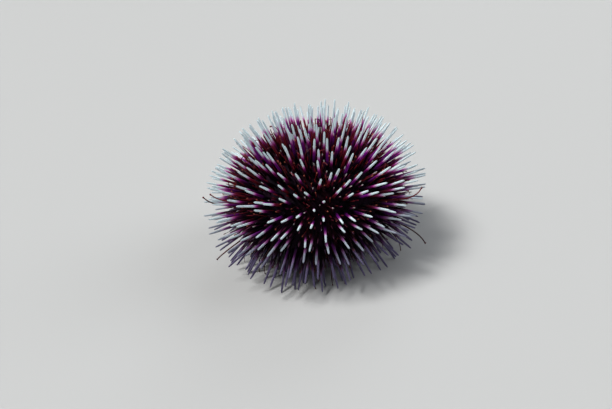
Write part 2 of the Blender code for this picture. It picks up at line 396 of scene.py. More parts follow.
def rods(
    piece: Piece, paths: np.ndarray, radii: np.ndarray, patches: np.ndarray, draws: np.ndarray,
    shares: np.ndarray | None = None, floor: np.ndarray | None = None,
) -> None:
    """Adds many closed rods: rings of corners round each path, shut at both ends by a fan.

    A ring's corner is its path point plus its radius times (cosine of the corner's angle times one
    side direction, plus sine times the other). The first side direction is the same all along a
    rod, square to its bend or level where it is straight, and made square to the path at each
    ring, so the rings don't twist.

    Args:
        piece: the mesh they join.
        paths: (rods, rings, 3) points, from root to tip.
        radii: distance of each corner from the path, as (rods, rings, sides) or what fits it.
        patches: (rods, 2) each root's place on the unwrapped shell.
        draws: (rods, 2) each rod's own draws, for its finish.
        shares: (rings,) share of each ring from root to tip; evenly spread if left out.
        floor: (rods,) true for those whose points are held at or above floor level.
    """
    count, rings = paths.shape[:2]
    sides = radii.shape[-1]
    shares = np.linspace(0, 1, rings) if shares is None else shares
    ahead = unit(np.gradient(paths, axis=1))
    bend = np.cross(ahead[:, 0], ahead[:, -1])
    steep = np.abs(ahead[:, :1, 2]) > STEEP
    plain = np.cross(ahead[:, 0], np.where(steep, np.roll(UP, 1), UP))
    unbent = np.linalg.norm(bend, axis=1, keepdims=True) < STRAIGHT
    across = np.where(unbent, plain, bend)[:, None, :]
    across = unit(across - ahead * (across * ahead).sum(axis=-1, keepdims=True))
    other = np.cross(ahead, across)
    angles = turns(sides)[:, None]
    ring = np.cos(angles) * across[:, :, None] + np.sin(angles) * other[:, :, None]
    corners = paths[:, :, None] + ring * radii[..., None]
    points = np.concatenate([corners.reshape(count, -1, 3), paths[:, :1], paths[:, -1:]], axis=1)
    if floor is not None:
        points[..., 2] = np.where(floor[:, None], np.maximum(points[..., 2], 0), points[..., 2])
    size = points.shape[1]
    along = np.concatenate([np.repeat(shares, sides), shares[[0, -1]]])
    own = np.repeat(draws[:, None], size, axis=1)
    growth = np.concatenate([np.tile(along, (count, 1))[..., None], own], axis=-1)
    blocks = []
    for faces, lie in (strip_faces(rings, sides), fan_faces(rings, sides)):
        lie = np.stack([lie[..., 0], shares[lie[..., 1].astype(int)]], axis=-1)
        bake = np.clip(patches[:, None, None, :] + BAKE_PATCH * (lie[None] - 0.5), 0, 1)
        many = faces[None] + (size * np.arange(count))[:, None, None]
        blocks.append((many.reshape(-1, faces.shape[1]), bake, np.repeat(lie[None], count, axis=0)))
    piece.add(points.reshape(-1, 3), growth.reshape(-1, 3), blocks)


def turned_grid(
    piece: Piece, points: np.ndarray, growth: np.ndarray, ends: np.ndarray | None
) -> None:
    """Adds a surface that closes round the axis.

    Args:
        piece: the mesh that it joins.
        points: (rows, columns, 3), the columns going round the axis and the rows down it.
        growth: (rows, columns, 3) growth values.
        ends: the two points that shut it above and below; without them the rows close in a loop.
    """
    rows, columns = points.shape[:2]
    parts = [strip_faces(rows, columns, ends is None)]
    points, growth = points.reshape(-1, 3), growth.reshape(-1, 3)
    if ends is not None:
        parts.append(fan_faces(rows, columns))
        points = np.concatenate([points, ends])
        growth = np.concatenate([growth, np.zeros((2, 3))])
    blocks = []
    for faces, lie in parts:
        lie = np.stack([lie[..., 0], lie[..., 1] / rows], axis=-1)
        blocks.append((faces[:, ::-1], lie[:, ::-1], lie[:, ::-1]))
    piece.add(points, growth, blocks)


# Shader helpers


SOCKETS = {"specular": "Specular IOR Level", "coat": "Coat Weight"}
MIX_INPUTS = (0, 6, 7)
MIX_OUTPUT = 2


class Operation(Enum):
    """The Math operations that the finishes use."""

    ADD = "ADD"
    SUBTRACT = "SUBTRACT"
    MULTIPLY = "MULTIPLY"
    MAXIMUM = "MAXIMUM"
    SINE = "SINE"


class Signal:
    """A number socket of a material, on which Python's operators add Math nodes."""

    def __init__(self, shader: "Shader", socket: bpy.types.NodeSocket) -> None:
        """Keeps the material and the socket."""
        self.shader = shader
        self.socket = socket

    def math(self, operation: Operation, other: object, swapped: bool = False) -> "Signal":
        """Adds a Math node.

        Args:
            operation: what it works out.
            other: the other number, as a value, a socket or a signal.
            swapped: true where other comes before self.

        Returns:
            Its result.
        """
        inputs = dict(enumerate((other, self) if swapped else (self, other)))
        made = self.shader.node("ShaderNodeMath", {"operation": operation.value}, inputs)
        return Signal(self.shader, made.outputs[0])

    def wave(self) -> "Signal":
        """The sine of self, in radians."""
        return self.math(Operation.SINE, 0)

    def above(self, other: object) -> "Signal":
        """The larger of self and other."""
        return self.math(Operation.MAXIMUM, other)

    def __add__(self, other: object) -> "Signal":
        """Self plus other."""
        return self.math(Operation.ADD, other)

    def __sub__(self, other: object) -> "Signal":
        """Self less other."""
        return self.math(Operation.SUBTRACT, other)

    def __rsub__(self, other: object) -> "Signal":
        """Other less self."""
        return self.math(Operation.SUBTRACT, other, swapped=True)

    def __mul__(self, other: object) -> "Signal":
        """Self times other."""
        return self.math(Operation.MULTIPLY, other)

    __radd__ = __add__
    __rmul__ = __mul__

    def step(self, low: float, high: float) -> "Signal":
        """Goes from 0 to 1 with a soft start and end.

        Args:
            low: where it starts to rise.
            high: where it has risen.

        Returns:
            The step's result.
        """
        inputs = {"Value": self, "From Min": low, "From Max": high}
        made = self.shader.node("ShaderNodeMapRange", {"interpolation_type": "SMOOTHSTEP"}, inputs)
        return Signal(self.shader, made.outputs[0])


class Shader:
    """A material or a world under way, and the ways of adding nodes to it."""

    def __init__(self, owner: bpy.types.ID, surface: str = "Principled BSDF") -> None:
        """Takes the owner's own nodes.

        Args:
            owner: the material or world.
            surface: name of the node that gives its light.
        """
        owner.use_nodes = True
        self.owner = owner
        self.tree = owner.node_tree
        self.surface = self.tree.nodes[surface]

    @classmethod
    def named(cls, name: str) -> "Shader":
        """A new material with a plain Principled shader."""
        return cls(bpy.data.materials.new(name))

    def node(self, kind: str, settings: dict, inputs: dict) -> bpy.types.Node:
        """Adds a node.

        Args:
            kind: its type.
            settings: its own settings, set first; stops are a ramp's (place, colour) pairs.
            inputs: the value, socket or signal for each named or numbered socket.

        Returns:
            The node.
        """
        made = self.tree.nodes.new(kind)
        for name, value in settings.items():
            if name != "stops":
                setattr(made, name, value)
                continue
            ramp = made.color_ramp.elements
            for place, _ in value[1:-1]:
                ramp.new(place)
            for stop, (place, colour) in zip(ramp, value):
                stop.position = place
                stop.color = (*colour, 1)
        for name, value in inputs.items():
            self.feed(made.inputs[name], value)
        return made

    def feed(self, socket: bpy.types.NodeSocket, value: object) -> None:
        """Links the value to the socket, or sets it there.

        Args:
            socket: a node's input.
            value: a signal or a socket to link, or a number, a vector or a colour to set.
        """
        if isinstance(value, Signal):
            value = value.socket
        if isinstance(value, bpy.types.NodeSocket):
            self.tree.links.new(value, socket)
        else:
            socket.default_value = (*value, 1) if socket.type == "RGBA" else value

    def object_place(self) -> bpy.types.NodeSocket:
        """The point's place in the piece's own metres."""
        return self.node("ShaderNodeTexCoord", {}, {}).outputs["Object"]

    def parts(self, vector: bpy.types.NodeSocket) -> tuple[Signal, Signal, Signal]:
        """The three numbers of a vector."""
        made = self.node("ShaderNodeSeparateXYZ", {}, {0: vector})
        return tuple(Signal(self, socket) for socket in made.outputs)

    def level(self) -> Signal:
        """The point's height above the floor, in metres."""
        return self.parts(self.object_place())[2]

    def lie(self, around: float, along: float) -> bpy.types.NodeSocket:
        """The place round and along the form.

        Args:
            around: how much it is stretched round the form.
            along: how much it is stretched along it.

        Returns:
            The socket of the stretched place.
        """
        uv = self.node("ShaderNodeUVMap", {"uv_map": LIE}, {}).outputs[0]
        inputs = {"Vector": uv, "Scale": (around, along, 1)}
        return self.node("ShaderNodeMapping", {}, inputs).outputs[0]

    def grown(self) -> tuple[Signal, Signal, Signal]:
        """The point's growth values: for a rod, its share from root to tip and its two draws."""
        found = self.node("ShaderNodeAttribute", {"attribute_name": GROWTH}, {})
        return self.parts(found.outputs["Vector"])

    def noise(self, place: bpy.types.NodeSocket, scale: float = 1, detail: float = 3) -> Signal:
        """Soft noise, near 0.5 on average."""
        inputs = {"Vector": place, "Scale": scale, "Detail": detail}
        return Signal(self, self.node("ShaderNodeTexNoise", {}, inputs).outputs[0])

    def cells(self, place: bpy.types.NodeSocket, scale: float) -> Signal:
        """Distance from the nearest of many scattered points."""
        made = self.node("ShaderNodeTexVoronoi", {}, {"Vector": place, "Scale": scale})
        return Signal(self, made.outputs["Distance"])

    def mix(self, share: Signal, first: object, second: object) -> bpy.types.NodeSocket:
        """The first colour, turning into the second as share goes from 0 to 1."""
        inputs = dict(zip(MIX_INPUTS, (share, first, second)))
        return self.node("ShaderNodeMix", {"data_type": "RGBA"}, inputs).outputs[MIX_OUTPUT]

    def ramp(self, share: Signal, stops: list[tuple[float, Colour]]) -> bpy.types.NodeSocket:
        """The colours at their rising stops, blended between them."""
        return self.node("ShaderNodeValToRGB", {"stops": stops}, {0: share}).outputs[0]

    def finish(
        self, colour: object, roughness: object, height: Signal | None = None, bump: float = 0.0,
        **uniform: float,
    ) -> bpy.types.Material:
        """Sets the surface.

        Args:
            colour: base colour.
            roughness: roughness.
            height: the bump's height, from 0 to 1.
            bump: how deep that height is, in metres.
            **uniform: other sockets, by the names in SOCKETS, each one number.

        Returns:
            The material.
        """
        self.feed(self.surface.inputs["Base Color"], colour)
        self.feed(self.surface.inputs["Roughness"], roughness)
        if height is not None:
            made = self.node("ShaderNodeBump", {}, {"Distance": bump, "Height": height})
            self.feed(self.surface.inputs["Normal"], made.outputs[0])
        for name, value in uniform.items():
            self.feed(self.surface.inputs[SOCKETS[name]], value)
        return self.owner


# Finishes


@dataclass(frozen=True)
class SpineFinish:
    """A spine's colours from its dark root through magenta, violet or rust to its white tip.

    Its stops and the other pairs of places are counted from the place where it turns white.
    Low down it is darkened by painted shade.
    """

    name: str = "spine_violet_to_white"
    root: Colour = (0.0015, 0.0004, 0.0022)
    shaft: Colour = (0.019, 0.0005, 0.013)
    wine: Colour = (0.105, 0.002, 0.058)
    flush: Colour = (0.32, 0.010, 0.19)
    violet: Colour = (0.20, 0.010, 0.26)
    rust: Colour = (0.16, 0.008, 0.012)
    haze: Colour = (0.60, 0.20, 0.52)
    tip: Colour = (0.79, 0.95, 1.0)
    # Painted shade: the colour the tips take low down, as if in the shadow of the body.
    painted_shade_tip: Colour = (0.115, 0.095, 0.185)
    stops: tuple[float, ...] = (-0.40, -0.22, -0.11, -0.05, 0.02, 0.12)
    turn_white: float = 0.61
    wander: float = 0.10
    streak: float = 0.14
    streaks: Ends = (9, 2.5)
    plain_draws: Ends | None = None
    plain_from: float = -0.055
    grain: float = 900
    grain_detail: float = 2
    soil: Ends = (0.55, 0.85)
    soil_places: Ends = (0.0, 0.1)
    soil_share: float = 0.35
    hue_start: Ends = (-0.45, -0.2)
    hue_end: Ends = (-0.04, 0.02)
    hue_share: float = 0.8
    violet_draws: Ends = (0.40, 0.95)
    rust_draws: Ends = (0.10, 0.26)
    rust_heights: Ends = (0.028, 0.056)
    # Painted shade: below these heights the outer part of a spine turns to the shaded tip colour and
    # the rest darkens towards the root colour.
    shade_heights: Ends = (0.016, 0.049)
    shade_places: Ends = (-0.2, 0.0)
    shade_share: float = 0.85
    flutes: int = 10
    flute_share: float = 0.3
    scratches: Ends = (20, 6)
    scratch_detail: float = 1
    scratch_share: float = 0.6
    bump: float = 0.00014
    rough: float = 0.42
    rough_grain: float = 0.2
    specular: float = 0.1

    def between(self, place: Signal, places: Ends) -> Signal:
        """Goes from 0 to 1 between two places counted from where the spine turns white."""
        return place.step(self.turn_white + places[0], self.turn_white + places[1])

    def material(self) -> bpy.types.Material:
        """Makes the colours along the spine, then their hue, the painted shade low down and the
        flutes.

        Returns:
            The material.
        """
        shader = Shader.named(self.name)
        along, draw, other = shader.grown()
        streaks = shader.noise(shader.lie(*self.streaks))
        place = along + (draw - 0.5) * self.wander + (streaks - 0.5) * self.streak
        if self.plain_draws:
            excess = (place - (self.turn_white + self.plain_from)).above(0)
            place = place - excess * (1 - other.step(*self.plain_draws))
        colours = (self.root, self.shaft, self.wine, self.flush, self.haze, self.tip)
        stops = [(self.turn_white + at, colour) for at, colour in zip(self.stops, colours)]
        colour = shader.ramp(place, [(0.0, self.root), *stops])
        grain = shader.noise(shader.object_place(), self.grain, self.grain_detail)
        soiled = shader.mix(grain.step(*self.soil) * self.soil_share, colour, self.haze)
        colour = shader.mix(self.between(place, self.soil_places), colour, soiled)
        below = self.between(place, self.hue_start) * (1 - self.between(place, self.hue_end))
        violet = other.step(*self.violet_draws) * below * self.hue_share
        colour = shader.mix(violet, colour, self.violet)
        height = shader.level()
        rust = (1 - other.step(*self.rust_draws)) * height.step(*self.rust_heights)
        colour = shader.mix(rust * below * self.hue_share, colour, self.rust)
        # Painted shade: the lower a point stands, the more its tip turns to the shaded tip colour and
        # its shaft to the root colour, as if in the body's shadow.
        shade = 1 - height.step(*self.shade_heights)
        outer = self.between(place, self.shade_places)
        colour = shader.mix(shade * outer, colour, self.painted_shade_tip)
        colour = shader.mix(shade * (1 - outer) * self.shade_share, colour, self.root)
        flutes = shader.parts(shader.lie(self.flutes * TURN, 1))[0].wave()
        scratches = shader.noise(shader.lie(*self.scratches), detail=self.scratch_detail)
        relief = flutes * self.flute_share + scratches * self.scratch_share
        rough = self.rough + grain * self.rough_grain
        return shader.finish(colour, rough, relief, self.bump, specular=self.specular)


@dataclass(frozen=True)
class FleshFinish:
    """Dark red skin that wanders between two colours, with a tip colour and painted shade low down."""

    name: str
    deep: Colour
    bright: Colour
    tip: Colour
    tip_shares: Ends = (0.84, 0.95)
    wander: Ends = (0.3, 0.75)
    grain: float = 700
    patches: float = 3
    rough: float = 0.38
    rough_grain: float = 0.25
    bump: float = 0.0001
    specular: float = 0.25
    # Painted shade: how much darker it gets below these heights, and the colour it darkens to.
    dim: float = 0.0
    painted_shade_heights: Ends = (0.020, 0.052)
    dark: Colour = (0.0, 0.0, 0.0)

    def material(self) -> bpy.types.Material:
        """Makes the skin's patches, the tip, the painted shade low down and the grain.

        Returns:
            The material.
        """
        shader = Shader.named(self.name)
        along, draw, _ = shader.grown()
        place = shader.object_place()
        patches = shader.noise(place, self.grain / self.patches)
        colour = shader.mix((patches + draw - 0.5).step(*self.wander), self.deep, self.bright)
        colour = shader.mix(along.step(*self.tip_shares), colour, self.tip)
        # Painted shade: darker towards the floor, as if in the shadow under the body.
        if self.dim:
            shade = (1 - shader.level().step(*self.painted_shade_heights)) * self.dim
            colour = shader.mix(shade, colour, self.dark)
        grain = shader.noise(place, self.grain)
        rough = self.rough + grain * self.rough_grain
        return shader.finish(colour, rough, grain, self.bump, specular=self.specular)


@dataclass(frozen=True)
class SkinFinish:
    """The shell's living skin: near-black violet, reddish along the tube feet, finely pimpled."""

    name: str = "shell_skin_dark_violet"
    deep: Colour = (0.003, 0.0007, 0.004)
    bright: Colour = (0.010, 0.0012, 0.008)
    band: Colour = (0.018, 0.002, 0.005)
    boss: Colour = (0.026, 0.004, 0.021)
    patches: float = 160
    wander: Ends = (0.35, 0.7)
    band_share: float = 0.8
    boss_values: Ends = (0.45, 1.0)
    pimples: float = 1400
    pimple_share: float = 0.8
    grain: float = 2500
    grain_detail: float = 2
    grain_share: float = 0.2
    rough: float = 0.55
    rough_pimples: float = 0.25
    bump: float = 0.00018
    specular: float = 0.06

    def material(self) -> bpy.types.Material:
        """Makes the patches, the tube feet's bands, the bosses' own colour and the pimples.

        Returns:
            The material.
        """
        shader = Shader.named(self.name)
        boss, foot_band, _ = shader.grown()
        place = shader.object_place()
        patches = shader.noise(place, self.patches)
        colour = shader.mix(patches.step(*self.wander), self.deep, self.bright)
        colour = shader.mix(foot_band * self.band_share, colour, self.band)
        colour = shader.mix(boss.step(*self.boss_values), colour, self.boss)
        pimples = shader.cells(place, self.pimples)
        grain = shader.noise(place, self.grain, self.grain_detail)
        relief = (1 - pimples) * self.pimple_share + grain * self.grain_share
        rough = self.rough + pimples * self.rough_pimples
        return shader.finish(colour, rough, relief, self.bump, specular=self.specular)


@dataclass(frozen=True)
class PlateFinish:
    """The apical disc's plates: dull violet, dark in the seams, paler where worn, finely pored."""

    name: str = "apical_plates_violet"
    seam: Colour = (0.006, 0.0015, 0.007)
    face: Colour = (0.034, 0.006, 0.031)
    worn: Colour = (0.11, 0.040, 0.090)
    sieve: Colour = (0.095, 0.036, 0.048)
    seam_rises: Ends = (0.15, 0.6)
    patches: float = 420
    wear: Ends = (0.5, 0.8)
    wear_share: float = 0.5
    sieve_share: float = 0.8
    pores: float = 3200
    pore_share: float = 0.4
    sieve_pores: float = 0.6
    grain: float = 1500
    grain_share: float = 0.4
    rough: float = 0.45
    rough_patches: float = 0.25
    bump: float = 0.00016
    specular: float = 0.2

    def material(self) -> bpy.types.Material:
        """Makes the seams and faces, the worn patches, the sieve plate and the pores.

        Returns:
            The material.
        """
        shader = Shader.named(self.name)
        rise, sieve, _ = shader.grown()
        place = shader.object_place()
        patches = shader.noise(place, self.patches)
        colour = shader.mix(rise.step(*self.seam_rises), self.seam, self.face)
        colour = shader.mix(patches.step(*self.wear) * self.wear_share * rise, colour, self.worn)
        colour = shader.mix(sieve * self.sieve_share, colour, self.sieve)
        relief = shader.cells(place, self.pores) * (self.pore_share + sieve * self.sieve_pores)
        relief = relief + shader.noise(place, self.grain) * self.grain_share
        rough = self.rough + patches * self.rough_patches
        return shader.finish(colour, rough, relief, self.bump, specular=self.specular)


@dataclass(frozen=True)
class ToothFinish:
    """Smooth ivory, stained brown towards the gum."""

    name: str = "tooth_ivory"
    ivory: Colour = (0.86, 0.82, 0.72)
    stain: Colour = (0.42, 0.26, 0.14)
    edge: Colour = (0.95, 0.94, 0.90)
    streaks: Ends = (6, 1.5)
    streak_scale: float = 2.0
    stain_fall: float = 0.5
    stain_places: Ends = (0.1, 0.6)
    edge_shares: Ends = (0.8, 1.0)
    rough: float = 0.22
    rough_streaks: float = 0.15
    bump: float = 0.00006
    coat: float = 0.3

    def material(self) -> bpy.types.Material:
        """Makes the ivory, its streaky stain and the paler edge.

        Returns:
            The material.
        """
        shader = Shader.named(self.name)
        along, _, _ = shader.grown()
        streaks = shader.noise(shader.lie(*self.streaks), self.streak_scale)
        stained = (streaks - along * self.stain_fall).step(*self.stain_places)
        colour = shader.mix(stained, self.ivory, self.stain)
        colour = shader.mix(along.step(*self.edge_shares), colour, self.edge)
        rough = self.rough + streaks * self.rough_streaks
        return shader.finish(colour, rough, streaks, self.bump, coat=self.coat)


@dataclass(frozen=True)
class FloorFinish:
    """A plain pale matt floor."""

    name: str = "plain_floor"
    pale: Colour = (0.46, 0.465, 0.465)
    rough: float = 0.85

    def material(self) -> bpy.types.Material:
        """The material."""
        return Shader.named(self.name).finish(self.pale, self.rough)


# The long spines


@dataclass(frozen=True)
class SpineShape:
    """A spine's own form: its radii, how far its root is sunk, and its profile.

    The profile gives factors of the radius at shares of the length. A share below 0 is the end
    that is sunk in the shell.
    """

    root_radius: float
    tip_radius: float
    sunk: float
    profile: Profile
    sides: int = 8

    def grow(self, piece: Piece, roots: Roots, draws: np.ndarray, width: float = 1.0) -> None:
        """Adds spines.

        The radius goes from the root's to the tip's in a straight line, times the profile's own
        factor: a neck, the milled ring above it, the shaft and a blunt round tip.

        Args:
            piece: the mesh they join.
            roots: where they stand.
            draws: (spines, 2) their draws, for their finish.
            width: how wide they are, as a share of the usual width.
        """
        share, factor = np.array(self.profile).T
        along = np.clip(share, 0, 1)
        reach = np.where(share < 0, -self.sunk, share * roots.length[:, None])
        paths = straight(roots.point, roots.heading, reach)
        taper = self.root_radius + (self.tip_radius - self.root_radius) * along
        radii = np.tile((width * taper * factor)[:, None], (1, self.sides))
        patches = unwrapped(roots.angle, roots.share)
        rods(piece, paths, radii, patches, draws, along, roots.standing)


@dataclass
class LongSpines:
    """The long blunt spines, one mesh to each wedge of the shell."""

    shell: ShellForm
    seed: int = 7
    stray_seed: int = 1046
    pitch: float = 0.0050
    row_steps: int = 4
    column_starts: tuple[tuple[int, int], ...] = ((-1, 1), (1, 3))
    extra_share: float = 0.4
    length: float = 0.0205
    solid_tip: float = 0.00058
    draw_count: int = 6
    most_draw: float = 1.6
    place_jitter: float = 0.12
    lean_jitter: float = math.radians(3.5)
    length_jitter: float = 0.04
    stray_length: float = 0.045
    stray_lean: float = 0.035
    lifted_draw: float = -0.4
    lift: float = 0.0024
    lift_jitter: float = 0.3
    shape: SpineShape = SpineShape(
        root_radius=0.00076,
        tip_radius=0.00046,
        sunk=0.0012,
        profile=((-1.0, 0.72), (0.012, 0.85), (0.035, 1.34), (0.075, 1.02), (0.93, 1.0),
                 (0.98, 0.76), (1.0, 0.32)),
    )
    rng: np.random.Generator = field(init=False)
    roots: Roots = field(init=False)

    def __post_init__(self) -> None:
        """Works out every spine's place, in the solids' order of draws.

        A spine that would reach the floor stands on it, or ends a little above it where its draw
        lifts it. The others stray a little from their solids, in length and heading, but never
        below the floor.
        """
        self.rng = np.random.default_rng(self.seed)
        found = [row for index, sector in enumerate(self.shell.sectors())
                 for row in self.places(index, sector)]
        share, angle, lean, reach, lifted, index = (np.array(part) for part in zip(*found))
        point, normal = self.shell.at(share, angle)
        heading = self.leaning(normal, angle, lean)
        length = self.length * (1 + self.length_jitter * reach)
        low = point[:, 2] + length * heading[:, 2] <= self.solid_tip
        to_floor = way_down(point, heading)
        raised = to_floor - self.lift * (1 + self.lift_jitter * reach)
        length = np.where(low, np.where(lifted, raised, to_floor), length)
        own = np.random.default_rng(self.stray_seed)
        stray = np.clip(own.normal(size=(len(share), 4)), -self.most_draw, self.most_draw)
        stray = np.where(low[:, None], 0.0, stray)
        length = length * (1 + self.stray_length * stray[:, 0])
        heading = unit(heading + self.stray_lean * stray[:, 1:])
        room = way_down(point, heading, self.solid_tip)
        length = np.where(low, length, np.minimum(length, room))
        self.roots = Roots(share, angle, point, heading, length, low & ~lifted, index)

    def places(self, index: int, sector: Sector) -> Iterator[tuple]:
        """One wedge's spines, column by column and row by row.

        Args:
            index: the wedge's number.
            sector: the wedge.

        Returns:
            For each spine its share, angle, two draws for its lean, one for its length, if its
            draw lifts it off the floor, and the wedge's number.
        """
        rows = round(self.shell.length() / self.pitch)
        steps = self.row_steps * rows
        radius, _ = self.shell.down(np.arange(steps + 1) / steps)
        for side, start in self.column_starts:
            for first in range(start, steps, self.row_steps):
                count = int(sector.half * radius[first] / self.pitch + self.extra_share)
                for k in range(count):
                    draws = self.rng.normal(size=self.draw_count)
                    aside, down, *lean, reach, lift = np.clip(draws, -self.most_draw, self.most_draw)
                    across = (k + 0.5 + self.place_jitter * aside) / count
                    step = first + self.row_steps * self.place_jitter * down
                    step = min(max(step, 1), steps - 1)
                    angle = sector.middle + side * sector.half * across
                    yield step / steps, angle, lean, reach, lift < self.lifted_draw, index

    def leaning(self, normal: np.ndarray, angle: np.ndarray, draws: np.ndarray) -> np.ndarray:
        """The normals, leant a little down the shell and round it.

        Args:
            normal: (spines, 3) outward directions.
            angle: (spines,) angles round the axis.
            draws: (spines, 2) draws for the lean round the shell and down it.

        Returns:
            The headings.
        """
        round_it = np.cross(UP, outward(angle))
        down_it = np.cross(normal, round_it)
        lean = np.tan(self.lean_jitter * draws)
        return unit(normal + round_it * lean[:, :1] + down_it * lean[:, 1:])

    def build(self) -> None:
        """Makes the spines of each wedge."""
        material = SpineFinish().material()
        rng = np.random.default_rng(self.seed + 1)
        draws = rng.uniform(size=(len(self.roots.share), 2))
        for index, sector in enumerate(self.shell.sectors()):
            chosen = self.roots.sector == index
            piece = Piece(f"long_spines_{sector.name}")
            self.shape.grow(piece, self.roots.part(chosen), draws[chosen])
            piece.finished(Slot.SHELL, material, sector.name)


# The skin over the shell


@dataclass
class Skin:
    """One skin over the whole shell, raised into a boss under each long spine."""

    shell: ShellForm
    roots: Roots
    rows: int = 196
    columns: int = 440
    depth: float = 0.00015
    boss_height: float = 0.00055
    boss_top: float = 0.00055
    boss_foot: float = 0.00165
    moat_depth: float = 0.00012
    seam_depth: float = 0.00016
    seam_width: float = 0.05
    reach: float = 0.0032
    band_middle: float = 0.55
    band_width: float = 0.30

    def bosses(self, share: float, points: np.ndarray) -> tuple[np.ndarray, np.ndarray]:
        """How far a row's points are raised by the nearest spine's boss, and their share of it.

        The boss is 1 less a soft step of the distance, and the moat round it a bell curve.

        Args:
            share: the row's place down the outline.
            points: (points, 3) of the row.

        Returns:
            The rise in metres and the share of the boss, each for every point.
        """
        near = np.abs(self.roots.share - share) * self.shell.length() < self.reach
        if not near.any():
            return np.zeros(len(points)), np.zeros(len(points))
        away = np.linalg.norm(points[:, None] - self.roots.point[near], axis=-1).min(axis=1)
        raised = 1 - smooth_step(away, self.boss_top, self.boss_foot)
        moat = bell((away - self.boss_foot) / (self.boss_top / 2))
        return raised * self.boss_height - moat * self.moat_depth, raised

    def seams(self, angles: np.ndarray) -> tuple[np.ndarray, np.ndarray]:
        """How deep the seams are at these angles, and how much of the tube feet's band is there.

        Seams are bell curves along the middle of each wedge and its edges, and the band is one
        between them on the narrow wedges.

        Args:
            angles: places round the axis.

        Returns:
            The two shares at each angle.
        """
        groove, band = np.zeros(len(angles)), np.zeros(len(angles))
        for sector in self.shell.sectors():
            aside = sector.aside(angles)
            edge = np.minimum(aside, np.abs(1 - aside))
            groove += (aside <= 1) * bell(edge / self.seam_width)
            if not sector.broad:
                band += bell((aside - self.band_middle) / self.band_width)
        return groove, band

    def build(self) -> None:
        """Makes the skin: the shell's outline turned round, with bosses, seams and a lip inside.

        The rows are worked out one by one, because the distances of all their points from all the
        spines don't fit in memory at once.
        """
        angles = FRONT + turns(self.columns)
        groove, band = self.seams(angles)
        points, values = [], []
        for share in np.linspace(0, 1, self.rows):
            place, normal = self.shell.at(np.full(self.columns, share), angles)
            raised, boss = self.bosses(share, place)
            height = raised - groove * self.seam_depth * (1 - boss) - self.depth
            points.append(place + normal * height[:, None])
            values.append(np.stack([boss, band, 0 * band], axis=-1))
        top, bottom = points[0].copy(), points[-1].copy()
        top[:, 2] = self.shell.crown - self.shell.disc_depth
        bottom[:, 2] = self.shell.sole + self.shell.mouth_depth
        points = np.stack([top, *points, bottom])
        values = np.stack([0 * values[0], *values, 0 * values[-1]])
        piece = Piece("shell_skin")
        turned_grid(piece, points, values, points[[0, -1], 0, 2:] * UP)
        names = [sector.name for sector in self.shell.sectors()]
        piece.finished(Slot.SHELL, SkinFinish().material(), *names)


# Small things scattered between the long spines


@dataclass
class Scatter:
    """Picks places on the shell that keep away from those already taken."""

    shell: ShellForm
    taken: np.ndarray
    seed: int = 21
    tries: int = 9
    among: Ends = (0.01, 0.99)
    floor_share: float = 0.8
    rng: np.random.Generator = field(init=False)

    def __post_init__(self) -> None:
        """Starts the draws."""
        self.rng = np.random.default_rng(self.seed)

    def pick(self, count: int, apart: float, length: Ends, lean: float) -> Roots:
        """Picks places at random, each kept if it is far enough from every one before it.

        Args:
            count: how many at most.
            apart: smallest distance between roots.
            length: shortest and longest.
            lean: how far a heading leans at most, as a share of its length.

        Returns:
            The roots that found room, their sector 1 on the broad wedges and 0 on the others.
        """
        tries = self.tries * count
        share = self.rng.uniform(*self.among, size=tries)
        radius, _ = self.shell.down(share)
        share = share[self.rng.uniform(size=tries) < radius / self.shell.radius]
        angle = self.rng.uniform(-math.pi, math.pi, size=len(share))
        point, normal = self.shell.at(share, angle)
        chosen = []
        for index, place in enumerate(point):
            if ((self.taken - place) ** 2).sum(axis=1).min() > apart**2:
                chosen.append(index)
                self.taken = np.vstack([self.taken, place])
                if len(chosen) == count:
                    break
        share, angle, point, normal = (part[chosen] for part in (share, angle, point, normal))
        heading = unit(normal + lean * self.rng.uniform(-1, 1, size=normal.shape))
        reach = self.rng.uniform(*length, size=len(share))
        room = self.floor_share * way_down(point, heading)
        reach = np.where(heading[:, 2] < 0, np.minimum(reach, room), reach)
        broad = sum(1 * (each.aside(angle) < 1) for each in self.shell.sectors() if each.broad)
        return Roots(share, angle, point, heading, reach, np.zeros(len(share), bool), broad)


@dataclass
class ShortSpines:
    """Thinner, shorter spines between the long ones, red-brown with small pale tips."""

    scatter: Scatter
    count: int = 1300
    apart: float = 0.0017
    length: Ends = (0.006, 0.0125)
    lean: float = 0.12
    shape: SpineShape = SpineShape(
        root_radius=0.00042,
        tip_radius=0.00025,
        sunk=0.0008,
        profile=((-1.0, 0.7), (0.0, 0.75), (0.04, 1.35), (0.09, 1.0), (0.9, 1.0), (0.97, 0.75),
                 (1.0, 0.3)),
    )
    # This finish keeps SpineFinish's painted shade low down.
    finish: SpineFinish = SpineFinish(
        "short_spine_red_brown",
        root=(0.003, 0.0004, 0.001),
        shaft=(0.036, 0.0012, 0.007),
        wine=(0.085, 0.003, 0.014),
        flush=(0.22, 0.014, 0.022),
        violet=(0.09, 0.005, 0.07),
        haze=(0.50, 0.17, 0.20),
        tip=(0.80, 0.76, 0.78),
        turn_white=0.80,
        wander=0.16,
        plain_draws=(0.79, 0.80),
    )

    def build(self) -> None:
        """Makes them, in one mesh for the narrow wedges and one for the broad ones."""
        material = self.finish.material()
        roots = self.scatter.pick(self.count, self.apart, self.length, self.lean)
        draws = self.scatter.rng.uniform(size=(len(roots.share), 2))
        for broad, name in enumerate(("ambulacra", "interambulacra")):
            chosen = roots.sector == broad
            piece = Piece(f"short_spines_{name}")
            self.shape.grow(piece, roots.part(chosen), draws[chosen])
            piece.finished(Slot.SHELL, material)


